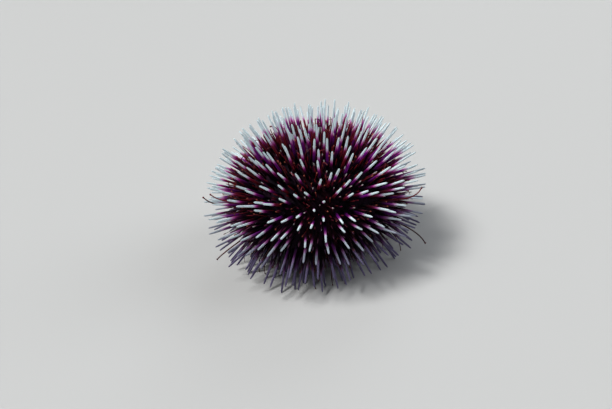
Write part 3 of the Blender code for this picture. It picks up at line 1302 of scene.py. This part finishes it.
@dataclass
class Pincers:
    """Small stalked pincers between the spines, with pale three-lobed heads."""

    scatter: Scatter
    count: int = 460
    apart: float = 0.0012
    length: Ends = (0.006, 0.0135)
    lean: float = 0.22
    bend: float = 0.0016
    sunk: float = 0.0006
    stalk_radius: float = 0.00017
    stalk_share: float = 0.6
    stalk_rings: int = 4
    head_radius: float = 0.00034
    head_length: float = 0.0013
    head: Profile = ((0.0, 0.45), (0.2, 0.95), (0.55, 1.0), (0.85, 0.6), (1.0, 0.12))
    lobes: int = 3
    lobe_depth: float = 0.16
    sizes: Ends = (0.75, 1.2)
    sides: int = 6
    finish: FleshFinish = FleshFinish(
        "pincer_red_and_pale",
        deep=(0.060, 0.004, 0.007),
        bright=(0.17, 0.009, 0.011),
        tip=(0.42, 0.105, 0.065),
        tip_shares=(0.64, 0.75),
        grain=900,
        # Painted shade: the pincers darken low down.
        dim=0.8,
    )

    def build(self) -> None:
        """Makes them: a stalk on a curve that bends aside, then the head's own profile.

        The stalk strays aside by the square of its share. The head's radius is the profile's
        factor times 1 plus a cosine with three lobes.
        """
        roots = self.scatter.pick(self.count, self.apart, self.length, self.lean)
        rng = self.scatter.rng
        aside = unit(rng.normal(size=roots.heading.shape))
        along, factor = np.array(self.head).T
        stalk = np.linspace(0, 1, self.stalk_rings)
        neck = (roots.length - self.head_length)[:, None]
        reach = np.concatenate([neck * stalk, neck + self.head_length * along], axis=1)
        reach[:, 0] = -self.sunk
        level = np.clip(reach / roots.length[:, None], 0, 1)
        paths = straight(roots.point, roots.heading, reach)
        paths = paths + aside[:, None] * (self.bend * level**2)[..., None]
        lobes = 1 + self.lobe_depth * np.cos(self.lobes * turns(self.sides))
        radii = np.concatenate([
            np.full((self.stalk_rings, self.sides), self.stalk_radius),
            self.head_radius * factor[:, None] * lobes,
        ])
        size = rng.uniform(*self.sizes, size=(len(paths), 1, 1))
        shares = np.concatenate([
            stalk * self.stalk_share, self.stalk_share + (1 - self.stalk_share) * along
        ])
        draws = rng.uniform(size=(len(paths), 2))
        piece = Piece("pincers")
        rods(piece, paths, radii * size, unwrapped(roots.angle, roots.share), draws, shares)
        piece.finished(Slot.SHELL, self.finish.material())


# The tube feet


@dataclass(frozen=True)
class ShownFoot:
    """A tube foot that stands out in the view: its place, and how far it reaches and rises."""

    angle: float
    share: float
    reach: float
    rise: float


@dataclass
class TubeFeet:
    """The dark red tube feet, long and slender with a sucker at the tip."""

    shell: ShellForm
    spines: LongSpines
    radius: float = 0.00021
    shown_radius: float = 0.00035
    widths: Ends = (0.85, 1.15)
    stem: Ends = (1.25, 0.90)
    reach: float = 0.0205
    drawn_in: float = 0.0075
    seen_from: float = 0.6
    bare_from: float = 0.74
    stiffness: float = 0.75
    curl_share: float = 0.27
    sunk: float = 0.002
    tries: int = 40
    solid_samples: int = 30
    curling_rows: tuple[float, ...] = (0.34, 0.5)
    standing_rows: tuple[float, ...] = (0.68,)
    standing_reach: Ends = (0.006, 0.012)
    extra_rows: tuple[float, ...] = (0.06, 0.11, 0.16, 0.21, 0.26, 0.30, 0.38, 0.45, 0.55, 0.75)
    extra_aside: Ends = (0.35, 0.85)
    extra_stray: Ends = (-0.012, 0.012)
    extra_reach: Ends = (0.007, 0.0135)
    standing_from: float = 0.65
    rings: int = 12
    sides: int = 6
    sucker_width: float = 1.45
    sucker_thickness: float = 0.0004
    sucker: Profile = ((0.001, 0.5), (0.301, 0.85), (0.601, 1.0), (1.001, 0.94))
    shown_bends: Ends = (0.45, 0.85)
    shown: tuple[ShownFoot, ...] = (
        ShownFoot(math.radians(205), 0.44, 0.0238, 0.0050),
        ShownFoot(math.radians(209), 0.415, 0.0226, 0.0035),
        ShownFoot(math.radians(-36), 0.50, 0.0240, 0.0065),
        ShownFoot(math.radians(-33), 0.62, 0.0240, -0.0055),
        ShownFoot(math.radians(203), 0.62, 0.0235, -0.0010),
    )
    finish: FleshFinish = FleshFinish(
        "tube_foot_dark_red",
        deep=(0.065, 0.003, 0.008),
        bright=(0.19, 0.010, 0.018),
        tip=(0.12, 0.007, 0.013),
        tip_shares=(0.80, 0.91),
        # Painted shade: the feet darken low down.
        dim=0.45,
        rough=0.30,
    )

    def clearance(self, samples: np.ndarray) -> np.ndarray:
        """How well curves keep away from the long spines.

        Args:
            samples: (curves, samples, 3) points of them.

        Returns:
            Each curve's smallest distance from the middle lines of the spines.
        """
        roots = self.spines.roots
        offsets = samples[:, :, None] - roots.point
        along = np.clip((offsets * roots.heading).sum(axis=-1), 0, roots.length)
        return np.linalg.norm(offsets - along[..., None] * roots.heading, axis=-1).min(axis=(1, 2))

    def curling(self, point: np.ndarray, heading: np.ndarray, draws: np.ndarray,
                reach: float) -> np.ndarray:
        """The corners that steer feet out of the shell along the heading, then curling aside.

        The second and third corners are a share of the reach and the whole reach out, and the tip
        is a share of the reach away from the second one, aside and out.

        Args:
            point: where they are rooted.
            heading: the outward direction there.
            draws: (ways, 3) a draw of the curl for each way.
            reach: how far they go.

        Returns:
            (ways, 4, 3) corners.
        """
        elbow = point + heading * reach * self.stiffness
        far = point + heading * reach
        aside = unit(draws - heading * (draws @ heading)[:, None])
        tip = elbow + (aside + heading) * reach * self.curl_share
        start = point - heading * self.sunk
        return np.stack(np.broadcast_arrays(start, elbow, far, tip), axis=1)

    def reaching(self, point: np.ndarray, heading: np.ndarray, draws: np.ndarray) -> np.ndarray:
        """The corners that steer feet out of the shell and down to stand on the floor.

        The second corner is a little way out, and the third straight above the tip by half the
        root's height.

        Args:
            point: where they are rooted.
            heading: the outward direction there.
            draws: (ways, 3) a draw of the foot's place on the floor for each way.

        Returns:
            (ways, 4, 3) corners.
        """
        flat = point * LEVEL
        out = unit(flat)
        near, far = self.standing_reach
        sole = flat + out * (near + (far - near) * np.abs(draws[:, :1]))
        sole = sole + np.cross(out, UP) * draws[:, 1:2] * near / 2
        sole[:, 2] = 2 * self.sucker_thickness
        root, start = point - heading * self.sunk, point + heading * near
        above = sole + UP * point[2] / 2
        return np.stack(np.broadcast_arrays(root, start, above, sole), axis=1)

    def extra(self, rng: np.random.Generator) -> Iterator[tuple[float, float, bool]]:
        """The feet between those that the solids have.

        Args:
            rng: draws of their places.

        Returns:
            For each foot its share, its angle, and if it stands on the floor.
        """
        for sector in self.shell.sectors():
            for row in () if sector.broad else self.extra_rows:
                for side in (-1, 1):
                    angle = sector.middle + side * sector.half * rng.uniform(*self.extra_aside)
                    yield row + rng.uniform(*self.extra_stray), angle, row > self.standing_from

    def rooted(self) -> Iterator[tuple[float, float, bool]]:
        """The feet that the solids have.

        Returns:
            For each foot its share, its angle, and if it stands on the floor.
        """
        rows = round(self.shell.length() / self.spines.pitch)
        steps = self.spines.row_steps
        for sector in self.shell.sectors():
            for row in () if sector.broad else (*self.curling_rows, *self.standing_rows):
                for side, start in self.spines.column_starts:
                    step = steps * round(row * rows) + start + steps // 2
                    angle = sector.middle + side * sector.half / 2
                    yield step / (steps * rows), angle, row in self.standing_rows

    def build(self) -> None:
        """Makes the feet of the solids, those between them, and those that the view shows.

        Of many drawn ways out of the shell, each foot takes the one that keeps farthest from the
        spines. The solids' feet go on with the spines' own draws, as in the solids. On the front
        side they are drawn in, and the ones between them are left out where they would point
        straight ahead.
        """
        own = np.random.default_rng(self.spines.seed + 2)
        found = [(*foot, self.spines.rng, self.reach) for foot in self.rooted()]
        found += [(*foot, own, own.uniform(*self.extra_reach)) for foot in self.extra(own)]
        corners, places, stands = [], [], []
        for share, angle, standing, rng, reach in found:
            point, heading = self.shell.at(np.array(share), np.array(angle))
            if rng is own and heading[1] < -self.bare_from:
                continue
            if rng is not own and heading[1] < self.seen_from:
                reach = min(reach, self.drawn_in)
            draws = rng.uniform(-1, 1, size=(self.tries, 3))
            ways = (self.reaching(point, heading, draws) if standing
                    else self.curling(point, heading, draws, reach))
            best = np.argmax(self.clearance(bezier(ways, self.solid_samples)))
            corners.append(ways[best])
            places.append((angle, share))
            stands.append(standing)
        corners += [self.steered(foot) for foot in self.shown]
        places += [(foot.angle, foot.share) for foot in self.shown]
        stands += [False] * len(self.shown)
        patches = unwrapped(*np.array(places).T)
        piece = Piece("tube_feet")
        self.grow(piece, np.array(corners), patches, np.array(stands), own)
        piece.finished(Slot.SHELL, self.finish.material())

    def steered(self, foot: ShownFoot) -> np.ndarray:
        """The corners that steer a shown foot out between the spines, then up or down.

        Args:
            foot: the foot.

        Returns:
            (4, 3) corners.
        """
        point, heading = self.shell.at(np.array(foot.share), np.array(foot.angle))
        near, far = (point + heading * foot.reach * bend for bend in self.shown_bends)
        tip = point + heading * foot.reach + UP * foot.rise
        return np.array([point - heading * self.sunk, near, far, tip])

    def grow(self, piece: Piece, corners: np.ndarray, patches: np.ndarray, stands: np.ndarray,
             rng: np.random.Generator) -> None:
        """Adds a foot on each curve: an even stem that ends in the sucker's widening profile.

        Args:
            piece: the mesh they join.
            corners: (feet, 4, 3) corners of their curves, the shown feet last.
            patches: (feet, 2) their places on the unwrapped shell.
            stands: (feet,) true for those that stand on the floor.
            rng: draws of their widths and for their finish.
        """
        level, factor = np.array(self.sucker).T
        stems = bezier(corners, self.rings)
        ahead = unit(stems[:, -1] - stems[:, -2])
        ahead = np.where(stands[:, None], -UP, ahead)
        ends = straight(stems[:, -1], ahead, 2 * self.sucker_thickness * level)
        paths = np.concatenate([stems, ends], axis=1)
        width = rng.uniform(*self.widths, size=(len(paths), 1)) * self.radius
        width[-len(self.shown):] = self.shown_radius
        widths = np.concatenate([np.linspace(*self.stem, self.rings), self.sucker_width * factor])
        radii = np.repeat((widths * width)[..., None], self.sides, axis=2)
        draws = rng.uniform(size=(len(paths), 2))
        rods(piece, paths, radii, patches, draws, floor=stands)


# The top of the shell


@dataclass
class ApicalDisc:
    """The disc on top: five plates, one of them the sieve plate, five small ones and a centre."""

    shell: ShellForm
    rows: int = 64
    columns: int = 192
    hub: float = 0.0001
    plate_ring: float = 0.0044
    plate_radius: float = 0.0017
    plate_rise: float = 0.00055
    sieve_radius: float = 0.0021
    sieve_ray: int = 1
    small_ring: float = 0.0057
    small_radius: float = 0.0009
    small_rise: float = 0.0004
    scales: int = 11
    scale_spread: float = 0.001955
    scale_offset: float = 0.4
    scale_stray: Ends = (-0.2, 0.2)
    scale_radius: float = 0.0006
    scale_rise: float = 0.0007
    golden_angle: float = math.pi * (3 - math.sqrt(5))
    seam_share: float = 0.30
    rim: Ends = (0.94, 1.0)
    pore_radius: float = 0.00026
    pore_depth: float = 0.00035
    spine_length: float = 0.011
    spine_width: float = 0.8
    spine_aside: float = 0.0016
    spine_out: float = 0.0004
    lean_out: float = 0.2
    lean_aside: float = 0.12
    seed: int = 5

    def plates(self) -> np.ndarray:
        """The plates of the disc: large and small ones by turns, then the centre's scales.

        The scales lie on a spiral whose radius is the root of their number.

        Returns:
            (plates, 5) ring, angle, width, rise and sieve share.
        """
        found = []
        for ray in range(self.shell.rays):
            sieve = ray == self.sieve_ray
            angle = self.shell.between(ray)
            width = self.sieve_radius if sieve else self.plate_radius
            found.append((self.plate_ring, angle, width, self.plate_rise, sieve))
            angle -= self.shell.step / 2
            found.append((self.small_ring, angle, self.small_radius, self.small_rise, False))
        rng = np.random.default_rng(self.seed)
        for k in range(self.scales):
            ring = self.scale_spread * math.sqrt((k + self.scale_offset) / self.scales)
            angle = k * self.golden_angle + rng.uniform(*self.scale_stray)
            found.append((ring, angle, self.scale_radius, self.scale_rise, False))
        return np.array(found, dtype=float)

    def build(self) -> None:
        """Makes the disc as a height over rings.

        Each point belongs to the plate whose middle is nearest for that plate's width, and a
        seam runs where two plates are almost equally near: the rise there is a soft step of the
        difference. The rim falls off by a soft step of the radius.
        """
        edge = self.shell.disc_radius
        radius = np.linspace(self.hub, edge, self.rows)
        x, y, level = np.moveaxis(radius[:, None, None] * outward(FRONT + turns(self.columns)), -1, 0)
        rim = self.shell.outline()[0][1]
        height = rim + (self.shell.crown - rim) * (1 - (radius / edge) ** 2)[:, None] + level
        ring, turn, width, plate, share = self.plates().T[:, :, None, None]
        away = np.hypot(x - ring * np.cos(turn), y - ring * np.sin(turn)) / width
        first, second = np.partition(away, 1, axis=0)[:2]
        nearest = away.argmin(axis=0)
        crown = smooth_step(second - first, 0.0, self.seam_share)
        crown = crown * (1 - smooth_step(radius / edge, *self.rim))[:, None]
        rise, sieve = plate[nearest, 0, 0] * crown, share[nearest, 0, 0]
        pore = ring + width / 2
        gap = np.hypot(x - pore * np.cos(turn), y - pore * np.sin(turn))
        gap = gap[width[:, 0, 0] >= self.plate_radius].min(axis=0)
        height -= self.pore_depth * (1 - smooth_step(gap, self.pore_radius / 2, self.pore_radius))
        points = np.stack([x, y, height + rise], axis=-1)
        values = np.stack([rise / self.plate_rise, sieve, 0 * rise], axis=-1)
        low = points[-1:].copy()
        low[..., 2] = self.shell.crown - self.shell.disc_depth + self.shell.gap
        ends = np.outer([points[0, :, 2].mean(), low[0, 0, 2]], UP)
        points, values = np.concatenate([points, low]), np.concatenate([values, 0 * values[-1:]])
        piece = Piece("apical_disc_plates")
        turned_grid(piece, points, values, ends)
        piece.finished(Slot.DISC, PlateFinish().material(), "apical_disc")

    def spines(self, shape: SpineShape) -> None:
        """Makes the ten spines that stand on the plates, two to each, leaning out and apart.

        Args:
            shape: the long spines' own form.
        """
        rays, depth = self.shell.rays, self.shell.disc_depth
        out = np.repeat(outward(self.shell.between(0) + turns(rays)), 2, axis=0)
        aside = np.cross(UP, out) * np.tile([-1, 1], rays)[:, None]
        heading = unit(UP + self.lean_out * out + self.lean_aside * aside)
        point = out * (self.plate_ring + self.spine_out) + aside * self.spine_aside
        point = point + UP * (self.shell.crown - depth / 2) + heading * depth / 2
        angle = np.arctan2(point[:, 1], point[:, 0])
        none = np.zeros(2 * rays)
        length = none + self.spine_length
        roots = Roots(none, angle, point, heading, length, none.astype(bool), none)
        draws = np.random.default_rng(self.seed).uniform(size=(2 * rays, 2))
        piece = Piece("apical_disc_spines")
        shape.grow(piece, roots, draws, self.spine_width)
        piece.finished(Slot.SHELL, SpineFinish().material())


# The underside


@dataclass
class Mouth:
    """The membrane round the mouth, with folds, stubby feet and gills at its rim."""

    shell: ShellForm
    teeth_radius: float = 0.0036
    rows: int = 28
    columns: int = 200
    lip_fall: float = 0.0006
    lip_rate: float = 2.2
    lip_start: float = 0.25
    fold_count: int = 25
    fold_depth: float = 0.00022
    wander: float = 0.4
    wander_round: int = 3
    wander_out: float = 8
    draw: float = 0.5
    sides: int = 8
    stub_ring: float = 0.0062
    stub_aside: float = 0.18
    stub_share: float = 0.98
    stub_length: float = 0.0022
    stub_sunk: float = 0.3
    stub_lean: float = 0.6
    stub_radius: float = 0.00055
    stub: Profile = ((0.0, 0.9), (0.3, 0.8), (0.6, 0.85), (0.8, 1.05), (0.93, 0.9), (1.0, 0.4))
    gill_branches: int = 9
    gill_share: float = 0.995
    gill_inward: float = 0.0006
    gill_sunk: float = 0.0007
    gill_lean: float = 0.5
    gill_spread: float = 0.7
    gill_length: float = 0.0024
    gill_lengths: Ends = (0.7, 0.3)
    gill_radius: float = 0.00028
    gill_taper: float = 0.5
    gill_rings: int = 8
    lumps: int = 3
    lump_depth: float = 0.35
    seed: int = 9
    finish: FleshFinish = FleshFinish(
        "membrane_dark_red",
        deep=(0.055, 0.010, 0.018),
        bright=(0.16, 0.040, 0.050),
        tip=(0.36, 0.14, 0.15),
        tip_shares=(0.86, 0.97),
        grain=1200,
    )

    def build(self) -> None:
        """Makes the membrane, its stubby feet and its gills in one mesh.

        The membrane's underside is a level that falls to the lip and rises to the rim, less a
        cosine of the angle for its folds, which wander. It closes over a flat top.
        """
        share = np.linspace(0, 1, self.rows)
        angle = FRONT + turns(self.columns)
        radius = self.teeth_radius + (self.shell.mouth_radius - self.teeth_radius) * share
        bow = np.sin(math.pi * np.clip(share * self.lip_rate + self.lip_start, 0, 1)) ** 2
        level = self.shell.sole - self.lip_fall * bow + self.lip_fall * share
        folds = np.sin(math.pi * share)[:, None] * np.cos(self.fold_count * angle)
        wander = np.cos(self.wander_round * angle + self.wander_out * share[:, None])
        folds = self.fold_depth * folds * (1 + self.wander * wander)
        under = radius[:, None, None] * outward(angle) + (level[:, None] + folds)[..., None] * UP
        over = under[[-1, 0]].copy()
        over[..., 2] = self.shell.sole + self.shell.mouth_depth - self.shell.gap
        points = np.concatenate([under, over])[::-1]
        values = np.zeros_like(points)
        values[..., 1] = self.draw
        piece = Piece("mouth_membrane_folds")
        turned_grid(piece, points, values, None)
        rng = np.random.default_rng(self.seed)
        self.stubs(piece, rng)
        self.gills(piece, rng)
        piece.finished(Slot.MEMBRANE, self.finish.material(), "mouth_membrane")

    def stubs(self, piece: Piece, rng: np.random.Generator) -> None:
        """Adds the stubby feet, in pairs in line with the narrow wedges, each with a round end.

        Args:
            piece: the membrane's mesh.
            rng: draws for their finish.
        """
        rays = self.shell.rays
        turn = np.repeat(FRONT + turns(rays), 2) + np.tile([-self.stub_aside, self.stub_aside], rays)
        out = outward(turn)
        level, width = np.array(self.stub).T
        start = out * self.stub_ring + UP * (self.shell.sole + self.stub_length * self.stub_sunk)
        paths = straight(start, unit(self.stub_lean * out - UP), self.stub_length * level)
        radii = np.tile((self.stub_radius * width)[:, None], (1, self.sides))
        patches = unwrapped(turn, self.stub_share)
        rods(piece, paths, radii, patches, rng.uniform(size=(len(turn), 2)))

    def gills(self, piece: Piece, rng: np.random.Generator) -> None:
        """Adds the gills: at each edge of a broad wedge a tuft of small lumpy branches.

        A branch's radius is 1 plus a cosine for its lumps, less the cube of its share.

        Args:
            piece: the membrane's mesh.
            rng: draws of their spread and for their finish.
        """
        broad = [sector for sector in self.shell.sectors() if sector.broad]
        edges = [sector.middle + side * sector.half for sector in broad for side in (-1, 1)]
        turn = np.repeat(edges, self.gill_branches)
        spread = rng.uniform(-1, 1, size=(len(turn), 3))
        out = outward(turn)
        start = out * (self.shell.mouth_radius - self.gill_inward)
        start = start + UP * (self.shell.sole + self.gill_sunk)
        heading = unit(out * self.gill_lean - UP + self.gill_spread * spread)
        level = np.linspace(0, 1, self.gill_rings)
        lumps = 1 + self.lump_depth * np.cos(self.lumps * TURN * level)
        width = self.gill_radius * lumps * (1 - self.gill_taper * level**3)
        usual, more = self.gill_lengths
        paths = straight(start, heading, self.gill_length * (usual + more * spread[:, :1]) * level)
        radii = np.tile(width[:, None], (1, self.sides))
        patches = unwrapped(turn, self.gill_share)
        rods(piece, paths, radii, patches, rng.uniform(size=(len(turn), 2)))


@dataclass
class Teeth:
    """Five ivory teeth that meet under the mouth, each curved to a chisel edge."""

    shell: ShellForm
    rings_out: Ends = (0.0021, 0.00075)
    widths: Ends = (0.0011, 0.00042)
    thicknesses: Ends = (0.0010, 0.00026)
    tip_height: float = 0.0062
    bend: float = 2.2
    narrowing: float = 1.5
    draw: float = 0.5
    rings: int = 16
    sides: int = 20

    def build(self) -> None:
        """Makes each tooth: an oval carried down a curve that bends in towards the axis.

        The oval's radius at an angle is 1 over the root of (cosine over the width) squared plus
        (sine over the thickness) squared. Its distance from the axis, its width and its thickness
        go from the top's to the tip's by powers of the share.
        """
        material = ToothFinish().material()
        top = self.shell.sole + self.shell.mouth_depth - self.shell.gap
        share = np.linspace(0, 1, self.rings)
        sizes = ((self.rings_out, self.bend), (self.widths, self.narrowing), (self.thicknesses, 1),
                 ((top, self.tip_height), 1))
        ring, width, thick, height = (a + (b - a) * share**power for (a, b), power in sizes)
        angles = turns(self.sides)
        across, along = np.cos(angles) / width[:, None], np.sin(angles) / thick[:, None]
        radii = 1 / np.sqrt(across**2 + along**2)
        for ray in range(self.shell.rays):
            turn = np.array([self.shell.between(ray)])
            path = outward(turn) * ring[:, None] + UP * height[:, None]
            draws = np.array([[ray / self.shell.rays, self.draw]])
            piece = Piece(f"tooth_{ray + 1}_ivory")
            rods(piece, path[None], radii[None], unwrapped(turn, self.draw), draws)
            piece.finished(Slot.TOOTH, material, f"tooth_{ray + 1}")


# The room: floor, lights and camera


@dataclass(frozen=True)
class Lamp:
    """A soft, far lamp: where it shines from, its width in degrees, its strength and colour."""

    name: str
    place: tuple[float, float, float]
    width: float
    power: float
    colour: Colour


@dataclass
class Studio:
    """A plain pale floor, soft lamps and the camera at the photograph's angle."""

    floor_half: float = 120.0
    target: tuple[float, float, float] = (0.0, 0.0, 0.0375)
    distance: float = 0.311
    elevation: float = math.radians(25.5)
    roll: float = math.radians(9.5)
    field_of_view: float = math.radians(57)
    sensor_width: float = 36
    image_width: int = 612
    image_height: int = 409
    middle_x: float = 313.3
    middle_y: float = 184.7
    overhead: Colour = (0.055, 0.059, 0.062)
    horizon: Colour = (0.61, 0.615, 0.615)
    fade: Ends = (0.0, 0.42)
    lamps: tuple[Lamp, ...] = (
        Lamp("key", (-0.55, 0.02, 1.00), 18.0, 3.5, (1.0, 0.99, 0.97)),
        Lamp("rim", (0.40, 0.90, 0.70), 30.0, 0.6, (0.92, 0.97, 1.0)),
        Lamp("fill", (0.90, -0.05, 0.60), 40.0, 1.2, (0.95, 0.97, 1.0)),
    )

    def build(self) -> None:
        """Sets up the floor, the lamps, the surrounding light and the camera."""
        self.floor()
        for lamp in self.lamps:
            self.light(lamp)
        self.surround()
        bpy.context.scene.view_settings.view_transform = "Standard"
        self.camera()

    def linked(self, name: str, data: bpy.types.ID) -> bpy.types.Object:
        """Adds an object to the scene.

        Args:
            name: its name.
            data: its mesh, lamp or camera.

        Returns:
            The object.
        """
        thing = bpy.data.objects.new(name, data)
        bpy.context.scene.collection.objects.link(thing)
        return thing

    def floor(self) -> None:
        """Makes the floor, one wide square at the level that the urchin stands on."""
        half = self.floor_half
        mesh = bpy.data.meshes.new("floor")
        corners = [(-half, -half, 0), (half, -half, 0), (half, half, 0), (-half, half, 0)]
        mesh.from_pydata(corners, [], [(0, 1, 2, 3)])
        mesh.materials.append(FloorFinish().material())
        thing = self.linked("floor", mesh)

    def light(self, lamp: Lamp) -> None:
        """Makes a lamp that faces the urchin.

        Args:
            lamp: its values.
        """
        data = bpy.data.lights.new(lamp.name, "SUN")
        data.energy = lamp.power
        data.angle = math.radians(lamp.width)
        data.color = lamp.colour
        thing = self.linked(lamp.name, data)
        thing.location = lamp.place
        thing.rotation_euler = (-Vector(lamp.place)).to_track_quat("-Z", "Y").to_euler()

    def surround(self) -> None:
        """Makes the light from all round, as pale as the floor at its horizon and dim overhead."""
        world = bpy.data.worlds.new("pale_surround")
        shader = Shader(world, "Background")
        rise = shader.parts(shader.node("ShaderNodeTexCoord", {}, {}).outputs["Generated"])[2]
        colour = shader.mix(rise.step(*self.fade), self.horizon, self.overhead)
        shader.feed(shader.surface.inputs["Color"], colour)
        bpy.context.scene.world = world

    def camera(self) -> None:
        """Makes the camera, turned so that the urchin's middle lies at its place in the frame."""
        data = bpy.data.cameras.new("camera")
        data.sensor_width = self.sensor_width
        data.angle = self.field_of_view
        ahead = Vector((0, math.cos(self.elevation), -math.sin(self.elevation)))
        pixels = self.image_width / 2 / math.tan(self.field_of_view / 2)
        aside = math.atan((self.middle_x - self.image_width / 2) / pixels)
        above = math.atan((self.image_height / 2 - self.middle_y) / pixels)
        turn = ahead.to_track_quat("-Z", "Y").to_matrix().to_4x4()
        for angle, axis in ((-self.roll, "Z"), (aside, "Y"), (-above, "X")):
            turn = turn @ Matrix.Rotation(angle, 4, axis)
        place = Vector(self.target) - ahead * self.distance
        thing = self.linked("camera", data)
        thing.matrix_world = Matrix.Translation(place) @ turn
        bpy.context.scene.camera = thing


def main() -> None:
    """Builds the pieces in order, then the floor, the lights and the camera."""
    logging.basicConfig(level=logging.INFO, format="%(message)s")
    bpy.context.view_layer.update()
    shell = ShellForm()
    spines = LongSpines(shell)
    Skin(shell, spines.roots).build()
    spines.build()
    TubeFeet(shell, spines).build()
    scatter = Scatter(shell, spines.roots.point)
    ShortSpines(scatter).build()
    Pincers(scatter).build()
    disc = ApicalDisc(shell)
    disc.build()
    disc.spines(spines.shape)
    Mouth(shell).build()
    Teeth(shell).build()
    Studio().build()


if __name__ == "__main__":
    main()
